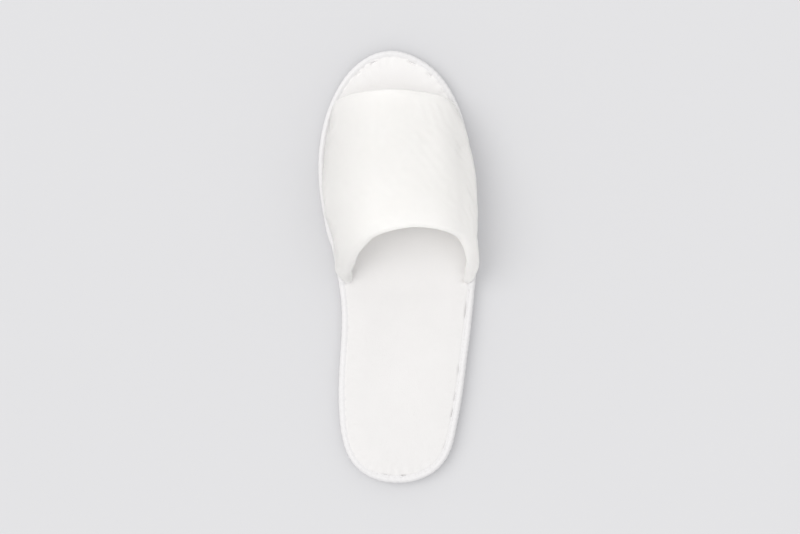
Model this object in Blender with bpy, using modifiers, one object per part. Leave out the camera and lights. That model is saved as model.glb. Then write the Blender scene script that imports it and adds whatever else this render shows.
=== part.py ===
"""An open-toe hotel slipper for the right foot, built from the pieces that its maker sews together.

Four pieces: a foam outsole, a soft insole, a padded vamp (the upper) and the tape that wraps their
common edge. Metres. +X is the outer side of the foot, +Y the toe, +Z up. The origin is on the floor,
under the middle of the sole's bounding box.
"""

import math

import bmesh
import bpy
import numpy as np

# Driving dimensions of the slipper
LENGTH = 0.280
BALL_WIDTH = 0.103
TOE_SPRING = 0.002  # rise of the toe tip off the floor
SPRING_START = 0.80  # share of the length, from the heel, where the toe begins to rise
GAP = 0.0003  # play between two pieces that lie on each other

# Thicknesses
OUTSOLE_THICKNESS = 0.0050
INSOLE_THICKNESS = 0.0030
UPPER_WALL = 0.0030
HEM_WALL = 0.0042  # the cloth folded back on itself along the throat and toe edges
SEAM_ALLOWANCE = 0.0015  # the upper's edge, squeezed flat under the tape
TAPE = 0.0010  # folded tape, two layers thick
PRESSED = 0.0013  # how much the seam squeezes the insole

# The edge tape, measured inwards from the finished edge of the sole
TAPE_WIDTH = 0.0052
TAPE_ROUNDING = 0.0020
FLOOR_CLEARANCE = 0.0002  # the tape stays this far above the floor
RECESS = FLOOR_CLEARANCE + TAPE + GAP  # the outsole is pressed up this far above the tape's lower flap
CHAMFER = 0.0008  # edges of the layers, cut off to clear the inside of the tape's fold

# Levels of the stacked layers, above the floor
OUTSOLE_TOP = OUTSOLE_THICKNESS
INSOLE_BOTTOM = OUTSOLE_TOP + GAP
INSOLE_TOP = INSOLE_BOTTOM + INSOLE_THICKNESS
INSOLE_RIM = INSOLE_TOP - PRESSED
ALLOWANCE_TOP = INSOLE_RIM + GAP + SEAM_ALLOWANCE
TAPE_TOP = INSOLE_RIM + GAP + TAPE
TAPE_LIFT = SEAM_ALLOWANCE + GAP  # extra height of the tape where it also covers the upper
LAYER_INSET = 0.0015  # edges of the layers inside the tape's fold
OUTSOLE_STEP = (0.0009, 0.0024)  # inwards of the tape, where the outsole comes down from recess to floor
INSOLE_SLOPE = (0.0022, 0.0048, 0.0085)  # inwards of the tape, where the footbed rises to its full height
SHOULDER = 0.0004  # drop of the footbed in the middle of that slope

# Finished outline, one row for each station: share of the length from heel to toe, then the inner and
# outer edge as shares of the ball width, from the axis of the foot
OUTLINE = (
    # station, along, inner, outer
    ("heel end", 0.000, 0.010, 0.010),
    ("heel curve", 0.043, -0.277, 0.282),
    ("heel seat", 0.139, -0.363, 0.376),
    ("heel breast", 0.236, -0.371, 0.419),
    ("waist", 0.364, -0.360, 0.463),
    ("instep", 0.471, -0.390, 0.491),
    ("joint", 0.589, -0.454, 0.500),
    ("ball", 0.707, -0.500, 0.480),
    ("tread end", 0.807, -0.482, 0.438),
    ("toes", 0.893, -0.407, 0.358),
    ("toe curve", 0.964, -0.272, 0.209),
    ("toe end", 1.000, -0.055, -0.055),
)
STEPS = 5  # points of the outline from one station to the next

# The upper, one row for each section from its toe edge to its throat. The first columns are shares of
# the length from the heel: where the section's inner and outer foot and its crown stand. The crown's
# place across is a share of the ball width. A tuck angle says how far the side bulges over its foot.
UPPER = (
    # section, inner foot, outer foot, crown along, crown across, crown height, inner tuck, outer tuck
    ("toe edge", 0.873, 0.868, 0.897, -0.045, 0.0260, 14, 16),
    ("toes", 0.765, 0.762, 0.817, -0.025, 0.0335, 18, 24),
    ("joint", 0.650, 0.645, 0.734, 0.000, 0.0400, 20, 28),
    ("instep", 0.543, 0.538, 0.657, 0.030, 0.0448, 15, 28),
    ("throat edge", 0.470, 0.463, 0.589, 0.050, 0.0480, 8, 26),
)
UPPER_ROWS = 16  # faces from the toe edge to the throat
ARCH_COLUMNS = 26  # faces across the arch
UPPER_CLEARANCE = 0.0005  # between the tape's inner edge and the upper that rises beside it
RISER = 0.0022  # the upright step at the foot of the wall, past the tape
FOLD = 0.0006  # rounding between the seam allowance and that step
FULL_WALL_AT = 0.0050  # height above the seam where the wall has its full thickness
HEM_ROWS = (1.0, 0.5)  # share of the hem's extra thickness in the first rows from either open edge
ALLOWANCE_STEPS = 3
TAPE_RAMP = 0.010  # length over which the tape comes down past each end of the upper

COLOURS = {
    # piece: base colour, roughness
    "outsole": ((0.84, 0.84, 0.83), 0.75),
    "insole": ((0.88, 0.88, 0.87), 0.95),
    "upper": ((0.90, 0.90, 0.89), 0.95),
    "edge_tape": ((0.91, 0.91, 0.91), 0.80),
}


def clear_scene():
    """Removes every object of the file that the script runs in."""
    for item in list(bpy.data.objects):
        bpy.data.objects.remove(item, do_unlink=True)


def smooth_step(t):
    """0 below 0, 1 above 1 and a smooth S between them."""
    t = np.clip(t, 0.0, 1.0)
    return t * t * (3.0 - 2.0 * t)


def along(share):
    """Y of a share of the length, counted from the heel."""
    return (share - 0.5) * LENGTH


def spring(y):
    """How far the toe spring lifts a point at y."""
    start = along(SPRING_START)
    return TOE_SPRING * (np.clip((y - start) / (LENGTH / 2 - start), 0.0, 1.0) ** 2)


def finished_outline():
    """Points of the finished edge, closed, from the toe end down the inner side and back up the outer."""
    inner = [(row[2], row[1]) for row in reversed(OUTLINE)]
    outer = [(row[3], row[1]) for row in OUTLINE[1:-1]]
    curve = bpy.data.curves.new("outline_guide", "CURVE")
    curve.dimensions = "2D"
    curve.fill_mode = "NONE"
    curve.resolution_u = STEPS
    spline = curve.splines.new("BEZIER")
    stations = inner + outer
    spline.bezier_points.add(len(stations) - 1)
    for point, (across, share) in zip(spline.bezier_points, stations):
        point.co = (across * BALL_WIDTH, along(share), 0.0)
        point.handle_left_type = point.handle_right_type = "AUTO"
    spline.use_cyclic_u = True
    guide = bpy.data.objects.new("outline_guide", curve)
    bpy.context.scene.collection.objects.link(guide)
    bpy.context.view_layer.update()
    mesh = bpy.data.meshes.new_from_object(guide.evaluated_get(bpy.context.evaluated_depsgraph_get()))
    points = np.array([vertex.co[:2] for vertex in mesh.vertices])
    bpy.data.objects.remove(guide)
    low, high = points.min(axis=0), points.max(axis=0)
    return (points - (low + high) / 2) * np.array([BALL_WIDTH, LENGTH]) / (high - low)


def inward_normals(points):
    """Unit vectors from each point of the closed outline towards the inside."""
    tangent = np.roll(points, -1, axis=0) - np.roll(points, 1, axis=0)
    tangent /= np.linalg.norm(tangent, axis=1)[:, None]
    return np.stack([-tangent[:, 1], tangent[:, 0]], axis=1)


class Edge:
    """The finished edge of the sole and the lines that run at a constant inset from it."""

    def __init__(self):
        self.points = finished_outline()
        self.normals = inward_normals(self.points)
        self.half = len(self.points) // 2  # index of the heel end; the toe end is index 0

    def ring(self, inset):
        """The closed line that runs inset from the edge."""
        return self.points + inset * self.normals

    def place(self, side, y, inset):
        """The index, with its fraction, where the line at this inset passes y on one side."""
        ring = self.ring(inset)
        if side == "inner":
            rows = np.arange(0, self.half + 1)
        else:
            rows = np.arange(self.half, len(ring))
        order = rows[np.argsort(ring[rows, 1])]
        return float(np.interp(y, ring[order, 1], order))

    def at(self, place, inset):
        """The point of the line at this inset at a fractional index."""
        ring = self.ring(inset)
        low = int(math.floor(place))
        share = place - low
        return ring[low % len(ring)] * (1 - share) + ring[(low + 1) % len(ring)] * share


def new_object(name, mesh, collection):
    """Links a mesh as an object with a material of its own."""
    item = bpy.data.objects.new(name, mesh)
    collection.objects.link(item)
    colour, roughness = COLOURS[name]
    material = bpy.data.materials.new(name)
    material.use_nodes = True
    shader = material.node_tree.nodes["Principled BSDF"]
    shader.inputs["Base Color"].default_value = (*colour, 1.0)
    shader.inputs["Roughness"].default_value = roughness
    shader.inputs["Metallic"].default_value = 0.0
    mesh.materials.append(material)
    mesh.shade_smooth()
    mesh.set_sharp_from_angle(angle=math.radians(40))
    return item


def loft_rings(bm, rings):
    """Joins closed rings of equal count with bands of faces, in order."""
    loops = [[bm.verts.new(point) for point in ring] for ring in rings]
    for low, high in zip(loops, loops[1:]):
        count = len(low)
        for i in range(count):
            j = (i + 1) % count
            bm.faces.new((low[i], low[j], high[j], high[i]))
    return loops


def close_with_rungs(bm, loop):
    """Fills a ring of the sole with strips across the foot, from inner edge to outer edge."""
    count = len(loop)
    half = count // 2
    bm.faces.new((loop[0], loop[1], loop[-1]))
    for i in range(1, half - 1):
        bm.faces.new((loop[i], loop[i + 1], loop[count - i - 1], loop[count - i]))
    bm.faces.new((loop[half - 1], loop[half], loop[half + 1]))


def raised(points, height):
    """Flat points set at a height, which may differ from point to point, with the toe spring added."""
    return np.column_stack([points, np.broadcast_to(height, len(points)) + spring(points[:, 1])])


def layer(name, edge, profile, collection):
    """A layer of the sole: its edge profile, a row of inset and height from bottom to top, run all round."""
    bm = bmesh.new()
    loops = loft_rings(bm, [raised(edge.ring(inset), height) for inset, height in profile])
    close_with_rungs(bm, loops[0])
    close_with_rungs(bm, loops[-1])
    bmesh.ops.recalc_face_normals(bm, faces=bm.faces)
    mesh = bpy.data.meshes.new(name)
    bm.to_mesh(mesh)
    bm.free()
    return new_object(name, mesh, collection)


def build_outsole(edge, collection):
    """Foam sheet, flat on the floor, pressed thin from below where the tape folds under it."""
    upper_end, lower_end = OUTSOLE_STEP
    profile = (
        (TAPE_WIDTH + lower_end, 0.0),
        (TAPE_WIDTH + upper_end, RECESS),
        (LAYER_INSET + CHAMFER, RECESS),
        (LAYER_INSET, RECESS + CHAMFER),
        (LAYER_INSET, OUTSOLE_TOP),
    )
    return layer("outsole", edge, profile, collection)


def build_insole(edge, collection):
    """Footbed, pressed thin from above at the seam and rising to its full thickness inside it."""
    start, middle, end = INSOLE_SLOPE
    profile = (
        (LAYER_INSET, INSOLE_BOTTOM),
        (LAYER_INSET, INSOLE_RIM - CHAMFER),
        (LAYER_INSET + CHAMFER, INSOLE_RIM),
        (TAPE_WIDTH + start, INSOLE_RIM),
        (TAPE_WIDTH + middle, INSOLE_TOP - SHOULDER),
        (TAPE_WIDTH + end, INSOLE_TOP),
    )
    return layer("insole", edge, profile, collection)


def upper_cover(edge):
    """For each point of the edge, 1 where the upper's allowance lies under the tape, 0 where it doesn't."""
    first, last = UPPER[0], UPPER[-1]
    cover = np.zeros(len(edge.points))
    for i, (_, y) in enumerate(edge.points):
        column = 1 if i <= edge.half else 2
        toe_end, throat_end = along(first[column]), along(last[column])
        margin = TAPE_RAMP / 4  # the tape keeps its full height a little past each end
        behind = smooth_step((y - (throat_end - margin - TAPE_RAMP)) / TAPE_RAMP)
        before = smooth_step(((toe_end + margin + TAPE_RAMP) - y) / TAPE_RAMP)
        cover[i] = behind * before
    return cover


def build_edge_tape(edge, collection):
    """The folded tape: a strip that runs under the rim, round the edge and back over the top."""
    lift = TAPE_LIFT * upper_cover(edge)
    low, top = FLOOR_CLEARANCE, TAPE_TOP
    corner = TAPE_ROUNDING
    bend = corner * (1 - math.sqrt(0.5))
    strip = (
        # inset, height, share of the lift
        (TAPE_WIDTH, low, 0.0),
        (corner, low, 0.0),
        (bend, low + bend, 0.0),
        (0.0, low + corner, 0.0),
        (0.0, top - corner, 1.0),
        (bend, top - bend, 1.0),
        (corner, top, 1.0),
        (TAPE_WIDTH, top, 1.0),
    )
    bm = bmesh.new()
    loft_rings(bm, [raised(edge.ring(inset), height + share * lift) for inset, height, share in strip])
    bmesh.ops.recalc_face_normals(bm, faces=bm.faces)
    mesh = bpy.data.meshes.new("edge_tape")
    bm.to_mesh(mesh)
    bm.free()
    item = new_object("edge_tape", mesh, collection)
    wall = item.modifiers.new("tape thickness", "SOLIDIFY")
    wall.thickness = TAPE
    wall.offset = -1.0
    wall.use_even_offset = True
    return item


def section_values(share):
    """The upper's table read between its rows, at a share from its toe edge to its throat."""
    rows = np.array([row[1:] for row in UPPER])
    place = share * (len(rows) - 1)
    i = min(int(place), len(rows) - 2)
    t = place - i
    before = rows[i - 1] if i > 0 else 2 * rows[i] - rows[i + 1]
    after = rows[i + 2] if i + 2 < len(rows) else 2 * rows[i + 1] - rows[i]
    a, b = rows[i], rows[i + 1]
    return 0.5 * (
        2 * a
        + (b - before) * t
        + (2 * before - 5 * a + 4 * b - after) * t**2
        + (3 * a - before - 3 * b + after) * t**3
    )


def arch_side(foot, crown, crown_y, base, tuck, steps):
    """Half a section, from above its foot up to the crown: a stretch of an ellipse that bulges by the tuck."""
    rise = crown[1] - base
    semi_height = rise / (1 + math.sin(tuck))
    centre = base + semi_height * math.sin(tuck)
    semi_width = (crown[0] - foot[0]) / math.cos(tuck)
    points = []
    for angle in np.linspace(-tuck, math.pi / 2, steps + 1):
        x = crown[0] - semi_width * math.cos(angle)
        z = centre + semi_height * math.sin(angle)
        y = foot[1] + (crown_y - foot[1]) * (z - base) / rise
        points.append((x, y, z))
    return points


def foot_of_section(edge, side, y, inset):
    """Seam allowance and riser on one side: from under the tape inwards, then up past the tape's edge."""
    place = edge.place(side, y, inset)
    outer = LAYER_INSET + CHAMFER
    corner = FOLD * (1 - math.sqrt(0.5))
    points = []
    for k in range(ALLOWANCE_STEPS + 1):
        flat = edge.at(place, outer + (inset - FOLD - outer) * k / ALLOWANCE_STEPS)
        points.append((*flat, ALLOWANCE_TOP))
    points.append((*edge.at(place, inset - corner), ALLOWANCE_TOP + corner))
    points.append((*edge.at(place, inset), ALLOWANCE_TOP + FOLD))
    return points


def upper_section(edge, share):
    """Points of the outer face across one section, from the inner allowance to the outer one."""
    inner_foot, outer_foot, crown_along, crown_across, crown_z, inner_tuck, outer_tuck = section_values(share)
    inset = TAPE_WIDTH + UPPER_CLEARANCE
    base = ALLOWANCE_TOP + RISER
    crown = (crown_across * BALL_WIDTH, crown_z)
    crown_y = along(crown_along)
    halves = []
    for side, foot_share, tuck in (("inner", inner_foot, inner_tuck), ("outer", outer_foot, outer_tuck)):
        seam = foot_of_section(edge, side, along(foot_share), inset)
        arch = arch_side(seam[-1], crown, crown_y, base, math.radians(tuck), ARCH_COLUMNS // 2)
        halves.append(seam + arch)
    inner, outer = halves
    points = np.array(inner + outer[-2::-1])
    points[:, 2] += spring(points[:, 1])
    return points


def wall_thickness(row, height):
    """Thickness of the upper in one row of its grid, at a height above the seam."""
    from_edge = min(row, UPPER_ROWS - row)
    hem = HEM_ROWS[from_edge] if from_edge < len(HEM_ROWS) else 0.0
    full = UPPER_WALL + hem * (HEM_WALL - UPPER_WALL)
    return SEAM_ALLOWANCE + (full - SEAM_ALLOWANCE) * float(smooth_step(height / FULL_WALL_AT))


def build_upper(edge, collection):
    """The vamp: an arch of padded cloth over the forefoot, open at throat and toe, with its seam allowance."""
    sections = [upper_section(edge, row / UPPER_ROWS) for row in range(UPPER_ROWS + 1)]
    columns = len(sections[0]) - 1
    bpy.ops.mesh.primitive_grid_add(x_subdivisions=columns, y_subdivisions=UPPER_ROWS, size=2)
    item = bpy.context.object
    mesh = item.data
    item.name = mesh.name = "upper_grid"
    thicknesses = []
    for vertex in mesh.vertices:
        column = round((vertex.co.x + 1) / 2 * columns)
        row = round((1 - vertex.co.y) / 2 * UPPER_ROWS)
        vertex.co = sections[row][column]
        height = vertex.co.z - ALLOWANCE_TOP - spring(vertex.co.y)
        thicknesses.append(wall_thickness(row, height))
    bpy.data.objects.remove(item)
    item = new_object("upper", mesh, collection)
    padding = item.vertex_groups.new(name="padding")
    for i, thickness in enumerate(thicknesses):
        padding.add([i], thickness / HEM_WALL, "REPLACE")
    wall = item.modifiers.new("padded wall", "SOLIDIFY")
    wall.thickness = HEM_WALL
    wall.offset = -1.0
    wall.use_even_offset = True
    wall.vertex_group = padding.name
    return item


def main():
    clear_scene()
    collection = bpy.data.collections.new("hotel_slipper")
    bpy.context.scene.collection.children.link(collection)
    edge = Edge()
    build_outsole(edge, collection)
    build_insole(edge, collection)
    build_upper(edge, collection)
    build_edge_tape(edge, collection)


main()
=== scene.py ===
# Open-toe hotel slipper for the right foot: its looks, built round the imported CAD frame.
# Metres. +X is the outer side of the foot, +Y the toe, +Z up; the origin is on the floor under the sole.
import math

import bmesh
import bpy
import numpy as np
from mathutils import Matrix, Vector, noise
from mathutils.bvhtree import BVHTree


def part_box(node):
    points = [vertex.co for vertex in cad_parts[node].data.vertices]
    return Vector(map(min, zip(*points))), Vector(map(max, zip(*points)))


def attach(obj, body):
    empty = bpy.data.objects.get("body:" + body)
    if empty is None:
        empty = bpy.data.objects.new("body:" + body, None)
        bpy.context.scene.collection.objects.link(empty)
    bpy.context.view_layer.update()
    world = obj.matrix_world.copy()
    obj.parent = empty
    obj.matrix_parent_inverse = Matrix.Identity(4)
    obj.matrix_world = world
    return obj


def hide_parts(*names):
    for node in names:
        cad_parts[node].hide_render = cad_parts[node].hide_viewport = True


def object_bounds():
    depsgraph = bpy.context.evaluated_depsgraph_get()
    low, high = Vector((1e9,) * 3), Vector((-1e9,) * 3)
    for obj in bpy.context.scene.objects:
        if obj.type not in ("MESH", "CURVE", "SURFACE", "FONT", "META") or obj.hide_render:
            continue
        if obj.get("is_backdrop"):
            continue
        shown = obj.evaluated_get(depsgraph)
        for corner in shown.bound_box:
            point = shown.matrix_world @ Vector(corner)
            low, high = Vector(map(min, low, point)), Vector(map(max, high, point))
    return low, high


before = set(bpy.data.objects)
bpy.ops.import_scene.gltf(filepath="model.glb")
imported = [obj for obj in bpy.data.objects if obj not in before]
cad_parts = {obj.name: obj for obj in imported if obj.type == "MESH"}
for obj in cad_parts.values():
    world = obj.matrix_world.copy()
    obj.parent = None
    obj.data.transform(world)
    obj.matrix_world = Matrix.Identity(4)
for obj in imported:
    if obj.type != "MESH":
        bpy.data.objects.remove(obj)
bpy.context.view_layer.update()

mm = 0.001
edgeLow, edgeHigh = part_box("edge_tape")
footLength = edgeHigh.y - edgeLow.y
ballWidth = edgeHigh.x - edgeLow.x

# The stack of layers, as the CAD pieces have it
sole = {
    "toeSpring": 2.0 * mm,  # rise of the toe tip
    "springStart": 0.80,  # share of the length where it begins
    "tapeWidth": 5.2 * mm,
    "tapeLift": 1.8 * mm,  # extra height of the tape where it covers the upper too
    "outsoleTop": 4.9 * mm,
    "insoleBottom": 5.3 * mm,
    "insoleRim": 7.0 * mm,
    "allowanceTop": 8.8 * mm,  # top of the upper's seam allowance
    "rimInset": 1.8 * mm,  # edges of the layers, inside the tape's fold
}


def smoothStep(t):
    t = np.clip(t, 0.0, 1.0)
    return t * t * (3 - 2 * t)


def hill(t):
    # 1 at 0, falling smoothly to 0 at 1 and -1
    return np.where(np.abs(t) < 1, (1 - np.minimum(t * t, 1)) ** 2, 0.0)


def alongY(share):
    return (share - 0.5) * footLength


def springAt(y):
    start = alongY(sole["springStart"])
    return sole["toeSpring"] * np.clip((y - start) / (footLength / 2 - start), 0, 1) ** 2


def softNoise(points, size, seed, detail=1):
    # smooth noise between about -1 and 1, with patches of about that size
    total, amount = np.zeros(len(points)), 0.0
    for octave in range(detail):
        scale = 2.0**octave / size
        shift = Vector((seed * 7.31 + octave * 3.7, seed * 1.93, seed * 4.57))
        layer = np.array([noise.noise(Vector(p) * scale + shift) for p in points])
        total += layer / 2**octave
        amount += 1 / 2**octave
    return total / amount * 1.4


def splineRows(rows, places):
    # a natural cubic spline through evenly spaced rows, read at fractional row numbers
    rows = np.asarray(rows, float)
    places = np.asarray(places, float)
    matrix, right = np.eye(len(rows)), np.zeros_like(rows)
    for i in range(1, len(rows) - 1):
        matrix[i, i - 1 : i + 2] = 1, 4, 1
        right[i] = 6 * (rows[i + 1] - 2 * rows[i] + rows[i - 1])
    bends = np.linalg.solve(matrix, right)
    i = np.clip(places.astype(int), 0, len(rows) - 2)
    t = (places - i)[:, None]
    low = rows[i] * (1 - t) + bends[i] * ((1 - t) ** 3 - (1 - t)) / 6
    return low + rows[i + 1] * t + bends[i + 1] * (t**3 - t) / 6


def smoothTable(places, rows, at):
    # a smooth curve through a table's rows, which stand at uneven places
    slopes = np.gradient(rows, places, axis=0)
    step = np.clip(np.searchsorted(places, at) - 1, 0, len(places) - 2)
    width = places[step + 1] - places[step]
    t = np.clip((at - places[step]) / width, 0, 1)[:, None]
    width = width[:, None]
    low = rows[step] * (1 + 2 * t) * (1 - t) ** 2 + slopes[step] * width * t * (1 - t) ** 2
    return low + rows[step + 1] * t**2 * (3 - 2 * t) - slopes[step + 1] * width * t**2 * (1 - t)


def evened(table, reach):
    # each row averaged with its neighbours, the near ones counting most
    weights = hill(np.arange(-reach, reach + 1) / (reach + 1))
    spread = np.pad(table, ((reach, reach),) + ((0, 0),) * (table.ndim - 1), mode="edge")
    return sum(w * spread[k : k + len(table)] for k, w in enumerate(weights)) / weights.sum()


def resample(line, count):
    # a polyline again, as count evenly spaced points
    line = np.asarray(line, float)
    steps = np.linalg.norm(np.diff(line, axis=0), axis=1)
    along = np.concatenate([[0], np.cumsum(steps)])
    even = np.linspace(0, along[-1], count)
    return np.stack([np.interp(even, along, line[:, k]) for k in range(line.shape[1])], axis=1)


def treeOf(item):
    item.data.calc_loop_triangles()
    corners = [tuple(t.vertices) for t in item.data.loop_triangles]
    return BVHTree.FromPolygons([v.co for v in item.data.vertices], corners)


# The inner side is drawn in a little where the upper ends: where that begins and ends, over which
# lengths, and how deep
waist = {
    "front": (25 * mm, 16 * mm),
    "back": (-62 * mm, 45 * mm),
    "depth": 1.4 * mm,
}


class SoleEdge:
    # The finished edge of the sole, read off the CAD tape from outside and smoothed.
    # Shares run from the toe end down the inner side to the heel and back up the outer side.
    count = 1200  # points round it
    rays = 1440
    level = 5 * mm  # height at which it is read
    detail = 18  # waves kept, which leaves out the CAD's facets

    def __init__(self, node):
        tree = treeOf(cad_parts[node])
        middle = (edgeLow + edgeHigh) / 2
        far = (edgeHigh - edgeLow).length
        rim = []
        for angle in np.linspace(0, 2 * math.pi, self.rays, endpoint=False) + math.pi / 2:
            way = Vector((math.cos(angle), math.sin(angle), 0))
            start = Vector((middle.x, middle.y, self.level)) + way * far
            rim.append(tree.ray_cast(start, -way)[0][:2])
        ring = resample(rim + rim[:1], self.count + 1)[:-1]
        waves = np.fft.fft(ring[:, 0] + 1j * ring[:, 1])
        waves[self.detail + 1 : -self.detail] = 0
        smooth = np.fft.ifft(waves)
        self.points = self.even(np.stack([smooth.real, smooth.imag], axis=1))
        self.drawInWaist()
        self.inward = self.inwards()
        steps = self.points - np.roll(self.points, 1, axis=0)
        self.length = float(np.linalg.norm(steps, axis=1).sum())
        self.heel = int(np.argmin(self.points[:, 1]))
        self.toe = int(np.argmax(self.points[:, 1]))

    def drawInWaist(self):
        y = self.points[:, 1]
        (front, frontReach), (back, backReach) = waist["front"], waist["back"]
        drawn = smoothStep((front - y) / frontReach) * smoothStep((y - back) / backReach)
        drawn *= waist["depth"] * np.clip(self.inwards()[:, 0], 0, 1)
        self.points = self.even(self.points + self.inwards() * drawn[:, None])

    def even(self, ring):
        # evenly spaced points along a closed ring
        return resample(np.vstack([ring, ring[:1]]), self.count + 1)[:-1]

    def inwards(self):
        tangent = np.roll(self.points, -1, axis=0) - np.roll(self.points, 1, axis=0)
        tangent /= np.linalg.norm(tangent, axis=1)[:, None]
        return np.stack([-tangent[:, 1], tangent[:, 0]], axis=1)

    def read(self, table, shares):
        place = np.asarray(shares, float) * self.count
        low = np.floor(place).astype(int)
        t = (place - low)[..., None]
        return table[low % self.count] * (1 - t) + table[(low + 1) % self.count] * t

    def at(self, shares, inset):
        # points that lie inset from the edge, at shares of its length
        return self.read(self.points, shares) + np.asarray(inset)[..., None] * self.read(self.inward, shares)

    def shareAt(self, side, y, inset):
        # where the line at this inset passes y on one side of the foot
        ring = self.points + inset * self.inward
        turn = self.count if self.toe > self.count / 2 else 0
        if side == "inner":
            rows = np.arange(self.toe - turn, self.heel + 1)
        else:
            rows = np.arange(self.heel, self.toe + self.count - turn + 1)
        level = ring[rows % self.count, 1]
        order = np.argsort(level)
        return np.interp(y, level[order], rows[order]) / self.count

    def nearest(self, points):
        # how far inside the edge each point of the plan lies, and the share of the nearest place
        depth, share = np.empty(len(points)), np.empty(len(points))
        for start in range(0, len(points), 4000):
            part = slice(start, start + 4000)
            away = ((points[part, None, :] - self.points[None, ::2, :]) ** 2).sum(2)
            depth[part] = np.sqrt(away.min(1))
            share[part] = away.argmin(1) * 2 / self.count
        return depth, share


edge = SoleEdge("edge_tape")
print("edge of the sole read:", round(edge.length * 1000), "mm round")


def newPiece(name, vertices, faces, cornerUV=None, smooth=True):
    mesh = bpy.data.meshes.new(name)
    mesh.from_pydata([tuple(map(float, v)) for v in vertices], [], [tuple(map(int, f)) for f in faces])
    if cornerUV is not None:
        layer = mesh.uv_layers.new(name="UVMap")
        layer.data.foreach_set("uv", np.asarray(cornerUV, np.float32).ravel())
    mesh.validate()
    mesh.update()
    if smooth:
        mesh.shade_smooth()
    return placed(name, mesh)


def placed(name, data):
    item = bpy.data.objects.new(name, data)
    bpy.context.scene.collection.objects.link(item)
    return item


def gridFaces(rows, columns, wrapped=False):
    # corners of a grid's faces as row and column numbers, and the faces by point number
    i, j = np.meshgrid(np.arange(rows - 1), np.arange(columns - (not wrapped)), indexing="ij")
    corners = [(i, j), (i, j + 1), (i + 1, j + 1), (i + 1, j)]
    return corners, np.stack([(a * columns + b % columns).ravel() for a, b in corners], axis=1).tolist()


def gridNormals(grid):
    across, along = np.gradient(grid, axis=0), np.gradient(grid, axis=1)
    normal = np.cross(along, across)
    return normal / np.linalg.norm(normal, axis=2)[:, :, None]


def lengthsAlong(grid):
    # the distance of each point from the start of its row
    steps = np.linalg.norm(np.diff(grid, axis=1), axis=2)
    return np.concatenate([np.zeros((len(grid), 1)), np.cumsum(steps, axis=1)], axis=1)


def pointOutwards(item):
    work = bmesh.new()
    work.from_mesh(item.data)
    bmesh.ops.recalc_face_normals(work, faces=work.faces)
    work.to_mesh(item.data)
    work.free()


def shellPiece(name, grid, widths, mirrorAt):
    # Closed shell of a grid whose every row is one closed loop round the wall. Both end rows are closed
    # with strips between the loop's two sides; mirrorAt is the sum of the numbers of two facing points.
    rows, columns = grid.shape[:2]
    corners, faces = gridFaces(rows, columns, wrapped=True)
    spots = [np.stack([a.ravel() * widths[0], b.ravel() * widths[1]], axis=1) for a, b in corners]
    uv = np.stack(spots, axis=1).reshape(-1, 2).tolist()
    first = mirrorAt // 2 + 1
    for row, flip in ((0, False), (rows - 1, True)):
        for k in range(first, first + columns // 2 - 1):
            strip = [k % columns, (k + 1) % columns, (mirrorAt - k - 1) % columns, (mirrorAt - k) % columns]
            strip = strip[::-1] if flip else strip
            faces.append([row * columns + s for s in strip])
            uv += [(row * widths[0], s * widths[1]) for s in strip]
    item = newPiece(name, grid.reshape(-1, 3), faces, uv)
    pointOutwards(item)
    return item


class Wire:
    # a socket that takes part in sums, each of which adds its node
    def __init__(self, net, socket):
        self.net = net
        self.socket = socket

    def also(self, name):
        # another output of the same node
        return Wire(self.net, shownSocket(self.socket.node.outputs, name))

    def maths(self, operation, *others):
        return self.net.maths(operation, self, *others)

    def held(self):
        # kept between 0 and 1
        return self.maths("MINIMUM", 1.0).maths("MAXIMUM", 0.0)

    def __add__(self, other):
        return self.net.maths("ADD", self, other)

    def __radd__(self, other):
        return self.net.maths("ADD", other, self)

    def __sub__(self, other):
        return self.net.maths("SUBTRACT", self, other)

    def __rsub__(self, other):
        return self.net.maths("SUBTRACT", other, self)

    def __mul__(self, other):
        return self.net.maths("MULTIPLY", self, other)

    def __rmul__(self, other):
        return self.net.maths("MULTIPLY", other, self)

    def __truediv__(self, other):
        return self.net.maths("DIVIDE", self, other)

    def __rtruediv__(self, other):
        return self.net.maths("DIVIDE", other, self)


def shownSocket(sockets, name):
    if isinstance(name, int):
        return sockets[name]
    return next(s for s in sockets if s.name == name and s.enabled)


def isVector(value):
    return isinstance(value, tuple) or isinstance(value, Wire) and value.socket.type == "VECTOR"


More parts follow.
